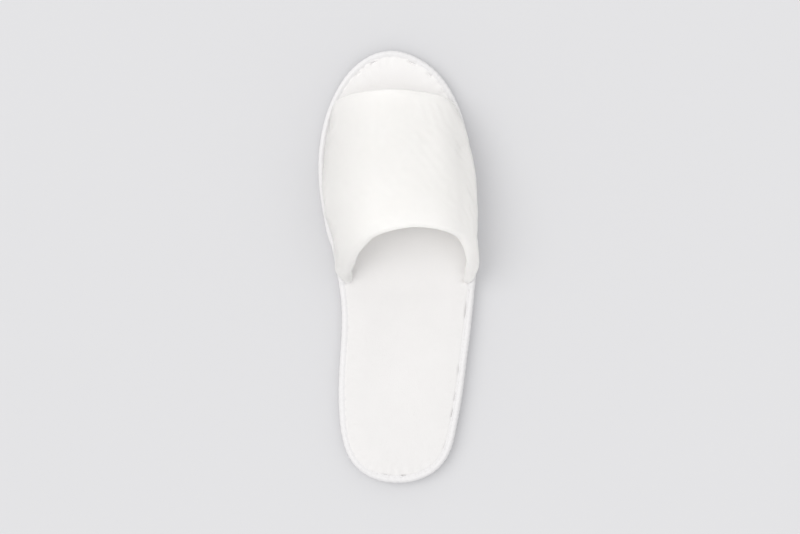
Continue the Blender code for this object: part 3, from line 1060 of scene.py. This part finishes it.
inside = {
    "hemGap": 8.5 * mm,  # from each edge of the vamp to the lining's own edge
    "thickness": 0.35 * mm,
    "clearance": 0.12 * mm,
    "lowest": 1.6 * mm,  # above the vamp's allowance
    "rows": 90,
    "faceSize": (0.8 * mm, 0.9 * mm),
}


def buildLining(wall):
    look = inside
    grid = []
    middleRow = wall.above.shape[1] // 2
    for column in range(len(wall.face)):
        if wall.above[column, middleRow] < look["lowest"]:
            continue
        length = wall.along[column, -1]
        distance = np.linspace(look["hemGap"], length - look["hemGap"], look["rows"] + 1)
        _, inner = wall.skins(column, distance)
        near = wall.at(column, distance, inner + look["clearance"])
        far = wall.at(column, distance, inner + look["clearance"] + look["thickness"])
        grid.append(np.concatenate([near, far[::-1]]))
    grid = np.array(grid)
    made = shellPiece("upper_lining", grid, look["faceSize"], 2 * look["rows"] + 1)
    return made, grid


upperLining, liningGrid = buildLining(vampWall)
upperLining.data.materials.append(liningKnit)
print("lining made")


footbed = {
    "rows": 400,
    "columns": 90,
    "pile": 0.45,  # of the thickness on the upper's folded edges
    "pileEnds": (52 * mm, 98 * mm),  # none in between, deep inside
    "pileRamps": (12 * mm, 8 * mm),  # over which it gets there
    "pileInset": (6.2 * mm, 1.5 * mm),  # where it begins beside the tape, and its ramp
    "slopeStart": 3.0 * mm,  # inset where the pad begins to rise out of the seam
    "slopeWidth": 3.2 * mm,
    "tightSwell": 1.3 * mm,
    "shoulder": 8.9 * mm,  # height that the padding swells to beside the tape
    "dimple": 0.8 * mm,  # depth of the pad at the seam's open slots
    "dimpleInset": 5.1 * mm,
    "dimpleWidth": 1.0 * mm,
    "crown": 0.5 * mm,  # extra height in the middle
    "tuckPitch": 7.5 * mm,  # small gathers along the seam
    "tuckHeight": 0.22 * mm,
    "tuckReach": 9 * mm,
    "tuckChange": 2.5,  # gathers until their spacing changes
    "uneven": (0.25 * mm, 30 * mm, 3, 2),  # height, patch, seed, detail
    "fillStart": 2.5 * mm,  # inset where the pad fills the room under the lifted tape
    "fillReach": 14 * mm,
}


def soleRows(rows, inset):
    # ends of the level lines across the foot, closer together towards heel and toe
    ring = edge.points + inset * edge.inward
    low, high = ring[:, 1].min(), ring[:, 1].max()
    angle = np.linspace(0.02, math.pi - 0.02, rows)
    y = (low + high) / 2 - (high - low) / 2 * np.cos(angle)
    inner = edge.at(edge.shareAt("inner", y, inset), np.full(rows, inset))[:, 0]
    outer = edge.at(edge.shareAt("outer", y, inset), np.full(rows, inset))[:, 0]
    return y, inner, outer


def layerPiece(name, look, topAt, bottomAt):
    # one layer of the sole, its loops running across the top and back underneath
    y, inner, outer = soleRows(look["rows"], sole["rimInset"])
    even = np.linspace(0, 1, look["columns"])
    share = (even + (1 - np.cos(math.pi * even)) / 2) / 2  # somewhat closer together at the sides
    x = inner[:, None] + (outer - inner)[:, None] * share[None, :]
    plan = np.stack([x, np.broadcast_to(y[:, None], x.shape)], axis=2)
    flat = plan.reshape(-1, 2)
    depth, nearest = edge.nearest(flat)
    spring = springAt(flat[:, 1])
    above = np.dstack([plan, (topAt(flat, depth, nearest) + spring).reshape(x.shape)])
    below = np.dstack([plan, (bottomAt(depth) + spring).reshape(x.shape)])
    grid = np.concatenate([above, below[:, ::-1]], axis=1)
    spacing = (footLength / look["rows"], ballWidth / look["columns"])
    made = shellPiece(name, grid, spacing, 2 * look["columns"] - 1)
    return made, grid, depth.reshape(x.shape)


seam = {
    "ramp": 4 * mm,  # over which the tape comes down from the upper
    "margin": 0.3 * mm,
    # where it stands open: name, (across, along), length, opening
    "slots": (
        ("inner toe far", (-26.0 * mm, 124.6 * mm), 4.6 * mm, 0.6),
        ("inner toe", (-15.4 * mm, 131.8 * mm), 7.0 * mm, 0.8),
        ("outer toe", (9.0 * mm, 131.4 * mm), 9.5 * mm, 1.0),
        ("outer toe bend", (19.7 * mm, 123.6 * mm), 8.0 * mm, 0.95),
        ("outer toe far", (27.7 * mm, 113.4 * mm), 5.0 * mm, 0.6),
        ("outer waist", (43.0 * mm, -28.0 * mm), 14.0 * mm, 0.8),
        ("outer hollow", (38.0 * mm, -67.0 * mm), 8.0 * mm, 0.6),
        ("outer heel", (36.0 * mm, -83.5 * mm), 9.0 * mm, 0.55),
        ("outer heel bend", (34.3 * mm, -94.5 * mm), 8.5 * mm, 0.7),
        ("outer heel corner", (28.5 * mm, -115.0 * mm), 8.0 * mm, 0.3),
        ("heel", (3.5 * mm, -134.6 * mm), 4.5 * mm, 0.75),
        ("inner heel", (-7.4 * mm, -134.2 * mm), 9.5 * mm, 0.35),
    ),
}


def drawnTight(inward):
    # 1 along the inner side and round the toe, where tape and pad close up, 0 elsewhere
    return smoothStep((np.maximum(inward[:, 0], -inward[:, 1]) - 0.2) / 0.5)


def seamSlots():
    # how far the seam between tape and pad stands open at each place round the edge
    rows = seam["slots"]
    places = edge.nearest(np.array([row[1] for row in rows]))[1]
    halves = np.array([row[2] for row in rows]) / 2
    opening = np.array([row[3] for row in rows])
    along = np.arange(edge.count) / edge.count
    away = np.abs((along[:, None] - places[None, :] + 0.5) % 1 - 0.5) * edge.length
    return (opening * smoothStep((1 - away / halves) * 1.6)).max(1)


openSlots = seamSlots()
seamCover, pastUpper = upperCover(seam["ramp"], seam["margin"])


def footbedTop(flat, depth, nearest):
    look = footbed
    # where it is drawn tight the pad swells over the tape's lip
    start = look["slopeStart"] - look["tightSwell"] * drawnTight(edge.read(edge.inward, nearest))
    rising = smoothStep((depth - start) / look["slopeWidth"])
    height = sole["insoleRim"] + (look["shoulder"] - sole["insoleRim"]) * np.sqrt(rising)
    height += look["crown"] * smoothStep((depth - look["slopeStart"]) / (4 * look["slopeWidth"]))
    amount, patch, seed, detail = look["uneven"]
    height += amount * softNoise(np.column_stack([flat, np.zeros(len(flat))]), patch, seed, detail) * rising
    phase = nearest * edge.length / look["tuckPitch"]
    wobble = softNoise(np.column_stack([phase, phase * 0, phase * 0 + 4]), look["tuckChange"], 5)
    fade = np.clip(1 - (depth - sole["tapeWidth"]) / look["tuckReach"], 0, 1) ** 1.5
    tucks = np.sin(2 * math.pi * (phase + 0.35 * wobble)) * (0.6 + 0.6 * wobble)
    height += look["tuckHeight"] * tucks * fade * rising
    # just past the upper's ends the pad fills the room under the lifted tape
    room = sole["tapeLift"] * seamCover * smoothStep((pastUpper + 1 * mm) / (2 * mm))
    fill = smoothStep((depth - look["fillStart"]) / (2 * mm)) * hill(depth / look["fillReach"])
    height += edge.read(room[:, None], nearest)[:, 0] * fill
    dimples = edge.read(openSlots[:, None], nearest)[:, 0]
    return height - look["dimple"] * dimples * hill((depth - look["dimpleInset"]) / look["dimpleWidth"])


def footbedBottom(depth):
    return np.full(len(depth), sole["insoleBottom"])


outsole = {
    "rows": 150,
    "columns": 48,
    "bottom": 0.40 * mm,  # flat underside; its dots reach the floor
    "recess": 1.5 * mm,  # pressed up under the tape's lower flap
    "step": (6.1 * mm, 7.6 * mm),  # inset where the underside comes down to its full depth
    "dotPitch": 3.1 * mm,
    "dotRadius": 0.85 * mm,
    "dotTop": 0.62,  # its width at the foam against that at the floor
    "dotMargin": 9.5 * mm,  # from the finished edge
}


def outsoleTop(flat, depth, nearest):
    return np.full(len(flat), sole["outsoleTop"])


def outsoleBottom(depth):
    start, end = outsole["step"]
    down = smoothStep((depth - start) / (end - start))
    return outsole["recess"] + (outsole["bottom"] - outsole["recess"]) * down


def padPile(grid, depth):
    # the pile on the pad, where it can be seen and clear of the seam
    look = footbed
    (back, front), (backRamp, frontRamp) = look["pileEnds"], look["pileRamps"]
    inset, ramp = look["pileInset"]
    y = grid[:, : depth.shape[1], 1]
    seen = np.maximum(smoothStep((back - y) / backRamp), smoothStep((y - front) / frontRamp))
    top = look["pile"] * seen * smoothStep((depth - inset) / ramp)
    return np.concatenate([top, np.zeros_like(top)], axis=1)


footbedPad, padGrid, padDepth = layerPiece("footbed_pad", footbed, footbedTop, footbedBottom)
footbedPad.data.materials.append(padCloth)
padNap = growPile("footbed_pile", footbedPad, padPile(padGrid, padDepth), padPileSize, padPileCloth)
outsoleFoam = layerPiece("outsole_foam", outsole, outsoleTop, outsoleBottom)[0]
outsoleFoam.data.materials.append(foamSheet)
print("footbed and outsole made,", len(padNap.data.polygons), "faces of pile")


def treadDots():
    # moulded dots in staggered rows, kept where they stand well inside the edge
    look = outsole
    net = GeometryNet("tread dots", {
        "Pitch": ("Float", look["dotPitch"]),
        "Radius": ("Float", look["dotRadius"]),
        "Margin": ("Float", look["dotMargin"]),
        "Dot Height": ("Float", look["bottom"]),
    })
    given = net.given
    pitch = given["Pitch"]
    rowPitch = pitch * math.sqrt(0.75)
    columns = ((ballWidth + 4 * mm) / pitch).maths("FLOOR")
    rows = ((footLength + 4 * mm) / rowPitch).maths("FLOOR")
    sizes = {
        "Size X": columns * pitch,
        "Size Y": rows * rowPitch,
        "Vertices X": columns + 1,
        "Vertices Y": rows + 1,
    }
    grid = net.geometry("MeshGrid", sizes, output="Mesh")
    odd = (net.parts(net.position(), "Y") / rowPitch + 200.25).maths("FLOOR").maths("MODULO", 2.0)
    shift = net.vector({"X": odd * pitch * 0.5, "Z": given["Dot Height"]})
    staggered = net.geometry("SetPosition", {"Geometry": grid, "Offset": shift})
    dots = net.geometry("MeshToPoints", {"Mesh": staggered}, output="Points")
    # a dot stays if the sole's outline goes round it and is further off than the margin
    rimValues = {"Geometry": given["Geometry"]}
    rim = net.geometry("Proximity", rimValues, {"target_element": "EDGES"}, "Distance")
    outline = net.geometry("MeshToCurve", {"Mesh": given["Geometry"]}, output="Curve")
    ray = {
        "Target Geometry": net.geometry("FillCurve", {"Curve": outline}, output="Mesh"),
        "Source Position": net.position() - (0.0, 0.0, 0.01),
        "Ray Direction": (0.0, 0.0, 1.0),
        "Ray Length": 0.1,
    }
    within = net.geometry("Raycast", ray, output="Is Hit")
    tooNear = {"A": rim, "B": given["Margin"]}
    near = net.make("FunctionNodeCompare", {"operation": "LESS_THAN"}, tooNear, "Result")
    out = net.make("FunctionNodeBooleanMath", {"operation": "NIMPLY"}, {0: within, 1: near}, "Boolean")
    away = net.make("FunctionNodeBooleanMath", {"operation": "NOT"}, {0: out}, "Boolean")
    kept = net.geometry("DeleteGeometry", {"Geometry": dots, "Selection": away}, {"domain": "POINT"})
    shape = {
        "Vertices": 10,
        "Side Segments": 1,
        "Radius Top": given["Radius"] * look["dotTop"],
        "Radius Bottom": given["Radius"],
        "Depth": given["Dot Height"],
    }
    dot = net.geometry("MeshCone", shape, {"fill_type": "NGON"}, "Mesh")
    placedDots = net.copies(kept, dot, (math.pi, 0.0, 0.0))
    ring = edge.points[::6]
    line = guideLine("treadGuide", np.column_stack([ring, np.zeros(len(ring))]), {}, closed=True)
    made = net.run(line, placedDots, foamSheet, "tread_dots", smooth=False)
    dropGuide(line)
    return made


tread = treadDots()
print("tread dots made:", len(tread.data.polygons), "faces")


tape = {
    "step": 0.62 * mm,  # faces along the edge
    "around": 60,  # faces round the folded strip
    "pitch": 4.0 * mm,  # stitches
    "tuckHeight": 0.13 * mm,
    "skew": 0.45,  # how far the folds lean, in stitches
    "wander": 2.2,  # how far unevenness shifts them
    "foldLevel": 0.62,  # height of a fold's wave that stays in place, and how much the wave counts
    "foldSteep": 1.6,
    "skinMiddle": 0.36,  # share round the strip where its folds are highest, and how fast they fade
    "skinFade": 3.6,
    "lipInset": (4.1 * mm, 0.9 * mm),  # from which inset and height it is the upper lip, and the ramps
    "lipHeight": (5 * mm, 1.5 * mm),
    "gape": 0.7 * mm,  # how far the inner lip is drawn back at an open slot
    "tuckedIn": 0.75 * mm,  # how far the lip sinks into the pad along the inner side
    "looseAtSlots": 0.8,  # share of that given up at an open slot
    "stitchInset": 4.0 * mm,
    "width": 45 * mm,  # round the whole fold, for the weave
    "broadNoise": 70.0,  # unevenness of the gathers, its patches a metre and their height
    "broadHeight": 0.30 * mm,
    "fineNoise": 260.0,
    "fineHeight": 0.10 * mm,
    # the folded strip: place, inset from the finished edge, height, share of the lift over the upper
    "strip": (
        ("lower lip", 5.10, 0.70, 0),
        ("lower lip outside", 4.90, 0.30, 0),
        ("lower groove", 4.05, 0.55, 0),
        ("lower swell", 3.00, 0.20, 0),
        ("lower corner", 1.60, 0.25, 0),
        ("foot of the side", 0.45, 1.10, 0),
        ("side low", 0.02, 2.80, 0),
        ("side middle", -0.05, 4.40, 0.35),
        ("side high", 0.10, 6.20, 0.8),
        ("shoulder", 0.70, 7.80, 1),
        ("top swell", 1.90, 8.85, 1),
        ("top fall", 3.10, 8.76, 1),
        ("stitch groove", 3.95, 8.52, 1),
        ("lip top", 4.75, 8.70, 1),
        ("lip", 5.35, 8.46, 1),
        ("lip under", 4.95, 8.22, 1),
        ("inside seam", 3.90, 7.60, 1),
        ("inside top", 2.30, 7.70, 1),
        ("inside shoulder", 1.25, 6.90, 1),
        ("inside side", 0.85, 5.00, 0.5),
        ("inside low", 0.90, 2.60, 0),
        ("inside corner", 1.60, 1.25, 0),
        ("inside flap", 3.20, 1.05, 0),
        ("inside lip", 4.70, 1.15, 0),
    ),
}


def tapeTree(count, profile):
    # the folded strip's section swept round the edge line, whose points hold what changes along it
    look = tape
    net = GeometryNet("folded tape", {
        "Profile": ("Object", profile),
        "Around": ("Int", look["around"]),
        "Stitches": ("Float", float(round(edge.length / look["pitch"]))),
        "Tuck Height": ("Float", look["tuckHeight"]),
        "Skew": ("Float", look["skew"]),
        "Gape": ("Float", look["gape"]),
    })
    given = net.given
    sizes = {"Size X": 1.0, "Size Y": 1.0, "Vertices X": count + 1, "Vertices Y": given["Around"] + 1}
    grid = net.geometry("MeshGrid", sizes, output="Mesh")
    weaveUV = grid.also("UV Map") * (edge.length, look["width"], 0.0)
    grid = net.store(grid, "UVMap", weaveUV, "FLOAT2", "CORNER")
    # both shares are stored before the grid is bent
    flat = net.parts(net.position())
    grid = net.store(grid, "along", (flat + 0.5).held(), "FLOAT", "POINT")
    grid = net.store(grid, "around", (flat.also("Y") + 0.5).held(), "FLOAT", "POINT")
    along, around = net.attribute("along"), net.attribute("around")
    index = (along * count + 0.5).maths("FLOOR").maths("MODULO", float(count))

    def onLine(value, kind="FLOAT"):
        values = {"Geometry": given["Geometry"], "Value": value, "Index": index}
        return net.geometry("SampleIndex", values, {"data_type": kind, "domain": "POINT"}, "Value")

    section = net.geometry("ObjectInfo", {"Object": given["Profile"]})
    sample = {"mode": "FACTOR", "use_all_curves": True}
    spot = net.geometry("SampleCurve", {"Curves": section, "Factor": around}, sample, "Position")
    inset = net.parts(spot)
    share, height = inset.also("Y") / mm, inset.also("Z")
    # the upper lip is drawn back where the seam stands open
    (inFrom, inRamp), (upFrom, upRamp) = look["lipInset"], look["lipHeight"]
    lip = ((inset - inFrom) / inRamp).held() * ((height - upFrom) / upRamp).held()
    drawn = onLine(net.attribute("slot")) * given["Gape"] * lip
    raised = height + onLine(net.attribute("lift")) * share - onLine(net.attribute("tucked")) * lip
    base = onLine(net.position(), "FLOAT_VECTOR")
    inward = onLine(net.attribute("inward", "FLOAT_VECTOR"), "FLOAT_VECTOR")
    bentTo = base + inward * (inset - drawn) + net.vector({"Z": raised})
    bent = net.geometry("SetPosition", {"Geometry": grid, "Position": bentTo})
    # gathers between the stitches, on the outer skin only
    broad = net.noise(net.position(), look["broadNoise"], 1.0) - 0.5
    fine = net.noise(net.position(), look["fineNoise"], 1.0) - 0.5
    phase = along * given["Stitches"] + (around - 0.5) * given["Skew"] * 4 + broad * look["wander"]
    fold = (phase * math.pi).maths("SINE").maths("ABSOLUTE")
    fromTop = (around - look["skinMiddle"]) * look["skinFade"]
    outer = (1 - fromTop * fromTop).maths("MAXIMUM", 0.0)
    swell = (fold - look["foldLevel"]) * given["Tuck Height"] * look["foldSteep"]
    swell = swell + fine * look["fineHeight"] + broad * look["broadHeight"]
    offset = net.make("GeometryNodeInputNormal", {}, {}) * (swell * outer)
    puckered = net.geometry("SetPosition", {"Geometry": bent, "Offset": offset})
    return net, net.geometry("MergeByDistance", {"Geometry": puckered, "Distance": 0.01 * mm})


def buildTape():
    look = tape
    count = round(edge.length / look["step"])
    shares = np.arange(count) / count
    inward = edge.read(edge.inward, shares)
    ring = edge.at(shares, np.zeros(count))
    cover = edge.read(seamCover[:, None], shares)[:, 0]
    slots = edge.read(openSlots[:, None], shares)[:, 0]
    tucked = drawnTight(inward) * (1 - cover) * (1 - look["looseAtSlots"] * slots)
    values = {"lift": cover * sole["tapeLift"], "slot": slots, "tucked": tucked * look["tuckedIn"]}
    values["inward"] = np.column_stack([inward, np.zeros(count)])
    line = guideLine("tapeGuide", np.column_stack([ring, springAt(ring[:, 1])]), values, closed=True)
    curve = bpy.data.curves.new("tapeProfile", "CURVE")
    curve.dimensions = "3D"
    curve.resolution_u = 8
    spline = curve.splines.new("BEZIER")
    spline.bezier_points.add(len(look["strip"]) - 1)
    for point, (_, inset, height, share) in zip(spline.bezier_points, look["strip"]):
        point.co = (inset * mm, share * mm, height * mm)
        point.handle_left_type = point.handle_right_type = "AUTO"
    spline.use_cyclic_u = True
    profile = placed("tapeProfile", curve)
    bpy.context.view_layer.update()
    net, closed = tapeTree(count, profile)
    made = net.run(line, closed, tapeCloth, "edge_tape_cloth")
    dropGuide(line, profile)
    pointOutwards(made)
    made.data.shade_smooth()
    return made


edgeTape = buildTape()
print("edge tape made:", len(edgeTape.data.polygons), "faces")


stitch = {
    "thread": 0.36 * mm,
    "length": 3.1 * mm,
    "rise": 0.10 * mm,  # of the thread's middle over the cloth
    "sink": 0.30 * mm,  # of its ends into the cloth
    "arcSteps": 5,
    "roundSteps": 6,
    "sizes": (0.88, 1.08),  # smallest and largest against the even size
    "seed": 3,
    "liningPitch": 4.5 * mm,
    "liningRow": 3,  # rows of the lining's own grid from its edge
}


def stitchRow(name, points, ups, pitch, closed):
    # a row of small thread loops along a line; ups says which way the cloth faces
    look = stitch
    net = GeometryNet(name + " stitches", {
        "Pitch": ("Float", pitch),
        "Length": ("Float", look["length"] * pitch / tape["pitch"]),
        "Thread": ("Float", look["thread"]),
        "Rise": ("Float", look["rise"]),
        "Sink": ("Float", look["sink"]),
        "Seed": ("Int", look["seed"]),
    })
    given = net.given
    line = net.geometry("MeshToCurve", {"Mesh": given["Geometry"]}, output="Curve")
    line = net.geometry(
        "ResampleCurve", {"Curve": line, "Length": given["Pitch"]}, {"mode": "LENGTH"}, "Curve"
    )
    half, low = given["Length"] * 0.5, given["Sink"] * -1.0
    bow = {
        "Resolution": look["arcSteps"],
        "Start": net.vector({"X": half * -1.0, "Z": low}),
        "Middle": net.vector({"Z": given["Rise"] * 2 + given["Sink"]}),
        "End": net.vector({"X": half, "Z": low}),
    }
    arc = net.geometry("CurveQuadraticBezier", bow, output="Curve")
    ringValues = {"Resolution": look["roundSteps"], "Radius": given["Thread"] * 0.5}
    ring = net.geometry("CurvePrimitiveCircle", ringValues, {"mode": "RADIUS"}, "Curve")
    loopValues = {"Curve": arc, "Profile Curve": ring, "Fill Caps": True}
    loop = net.geometry("CurveToMesh", loopValues, output="Mesh")
    align = "FunctionNodeAlignRotationToVector"
    tangent = net.make("GeometryNodeInputTangent", {}, {})
    turn = net.make(align, {"axis": "X"}, {"Vector": tangent}, "Rotation")
    upright = {"Rotation": turn, "Vector": net.attribute("up", "FLOAT_VECTOR")}
    turn = net.make(align, {"axis": "Z", "pivot_axis": "X"}, upright, "Rotation")
    row = net.copies(line, loop, turn, net.random("FLOAT", *look["sizes"]))
    guide = guideLine(name + "Guide", points, {"up": ups}, closed)
    made = net.run(guide, row, threadTwist, name)
    dropGuide(guide)
    return made


def smoothRing(values, reach=5):
    return sum(np.roll(values, k) for k in range(-reach, reach + 1)) / (2 * reach + 1)


def buildStitches():
    # one row in the tape's groove on top and one underneath, each laid on the cloth that a ray meets
    tree = treeOf(edgeTape)
    plan = edge.at(np.linspace(0, 1, 900, endpoint=False), np.full(900, tape["stitchInset"]))
    made = []
    for name, start, way in (("tape_stitches_top", 0.03, -1), ("tape_stitches_under", -0.02, 1)):
        ray = Vector((0, 0, way))
        points = np.array([tree.ray_cast(Vector((x, y, start)), ray)[0] for x, y in plan])
        points[:, 2] = smoothRing(points[:, 2])
        if way > 0:
            points[:, 2] = np.maximum(points[:, 2], 0.5 * mm)
        ups = np.tile([0.0, 0.0, -way], (len(points), 1))
        made.append(stitchRow(name, points, ups, tape["pitch"], True))
    return made


def liningStitches():
    # one row beside each edge of the lining, on the side that faces the foot
    made = []
    rows, beside = inside["rows"], stitch["liningRow"]
    for name, place in (("lining_stitches_throat", rows - beside), ("lining_stitches_toe", beside)):
        far = 2 * rows + 1 - place
        line = liningGrid[:, far]
        ups = np.cross(np.gradient(line, axis=0), liningGrid[:, far - 1] - liningGrid[:, far + 1])
        ups /= np.linalg.norm(ups, axis=1)[:, None]
        facing = np.sign(((line - liningGrid[:, place]) * ups).sum(1)).mean()
        made.append(stitchRow(name, line, ups * np.sign(facing), stitch["liningPitch"], False))
    return made


tapeStitches = buildStitches()
hemStitches = liningStitches()
print("stitches made:", [len(s.data.polygons) for s in tapeStitches + hemStitches])


pieces = [footbedPad, padNap, outsoleFoam, tread, upperCloth, vampNap, upperLining, edgeTape]
for piece in pieces + tapeStitches + hemStitches:
    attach(piece, "root")
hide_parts("insole")
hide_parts("insole")
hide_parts("outsole")
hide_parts("outsole")
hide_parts("upper")
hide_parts("upper")
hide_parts("edge_tape")


studio = {
    "eye": (-63.5 * mm, -2.4 * mm, 1.10),
    "lens": 76.0,
    "floor": 3.0,
    "sky": (1.0, 1.0, 1.0, 1),
    "skyStrength": 1.04,
    "backdrop": (0.775, 0.775, 0.79, 1),  # what shows beyond the floor
    "window": (74, 51, 45, 0.98),  # azimuth, elevation and spread in degrees, strength
    "windowColour": (1.0, 0.99, 0.975),
    "floorColours": ((0.600, 0.600, 0.613, 1), (0.610, 0.610, 0.623, 1)),
    "floorGrain": (3.0, 2.0),  # patches a metre, detail
    "floorFinish": {"Roughness": 0.9, "Specular IOR Level": 0.1},
}


def paleFloor(net, look):
    colour = net.mix(net.noise(net.place(), *look["floorGrain"]), *look["floorColours"])
    values = {"Base Color": colour, **look["floorFinish"]}
    return net.make("ShaderNodeBsdfPrincipled", {}, values)


def buildFloor():
    half = studio["floor"]
    corners = [(-half, -half, 0), (half, -half, 0), (half, half, 0), (-half, half, 0)]
    floor = newPiece("floor", corners, [(0, 1, 2, 3)], smooth=False)
    floor.data.materials.append(newMaterial("paleFloor", paleFloor, studio))
    floor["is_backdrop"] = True


def buildWindow():
    # one wide soft light; azimuth from the toe towards the inner side
    azimuth, elevation, spread, strength = studio["window"]
    lamp = bpy.data.lights.new("window", "SUN")
    lamp.angle = math.radians(spread)
    lamp.energy = strength
    lamp.color = studio["windowColour"]
    azimuth, elevation = math.radians(azimuth), math.radians(elevation)
    level = math.cos(elevation)
    source = Vector((-math.sin(azimuth) * level, math.cos(azimuth) * level, math.sin(elevation)))
    placed("window", lamp).rotation_euler = source.to_track_quat("Z", "Y").to_euler()


def buildSky():
    world = bpy.data.worlds.new("studio")
    bpy.context.scene.world = world
    world.use_nodes = True
    world.node_tree.nodes.clear()
    net = Net(world.node_tree)
    skyValues = {"Color": studio["sky"], "Strength": studio["skyStrength"]}
    sky = net.make("ShaderNodeBackground", {}, skyValues)
    backdrop = net.make("ShaderNodeBackground", {}, {"Color": studio["backdrop"]})
    seen = net.make("ShaderNodeLightPath", {}, {}, "Is Camera Ray")
    both = net.make("ShaderNodeMixShader", {}, {0: seen, 1: sky, 2: backdrop})
    net.make("ShaderNodeOutputWorld", {}, {"Surface": both})
    view = bpy.context.scene.view_settings
    view.view_transform = "Standard"
    view.look = "None"


def buildCamera():
    # over the foot and level with the toe, looking at the middle of the piece
    lens = bpy.data.cameras.new("camera")
    lens.lens = studio["lens"]
    camera = placed("camera", lens)
    low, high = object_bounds()
    eye = Vector(studio["eye"])
    back = (eye - (low + high) / 2).normalized()
    right = Vector((0, 1, 0)).cross(back).normalized()
    turned = Matrix((right, back.cross(right), back)).transposed().to_4x4()
    camera.matrix_world = Matrix.Translation(eye) @ turned
    bpy.context.scene.camera = camera


buildFloor()
buildWindow()
buildSky()
buildCamera()
print("floor, light and camera made")
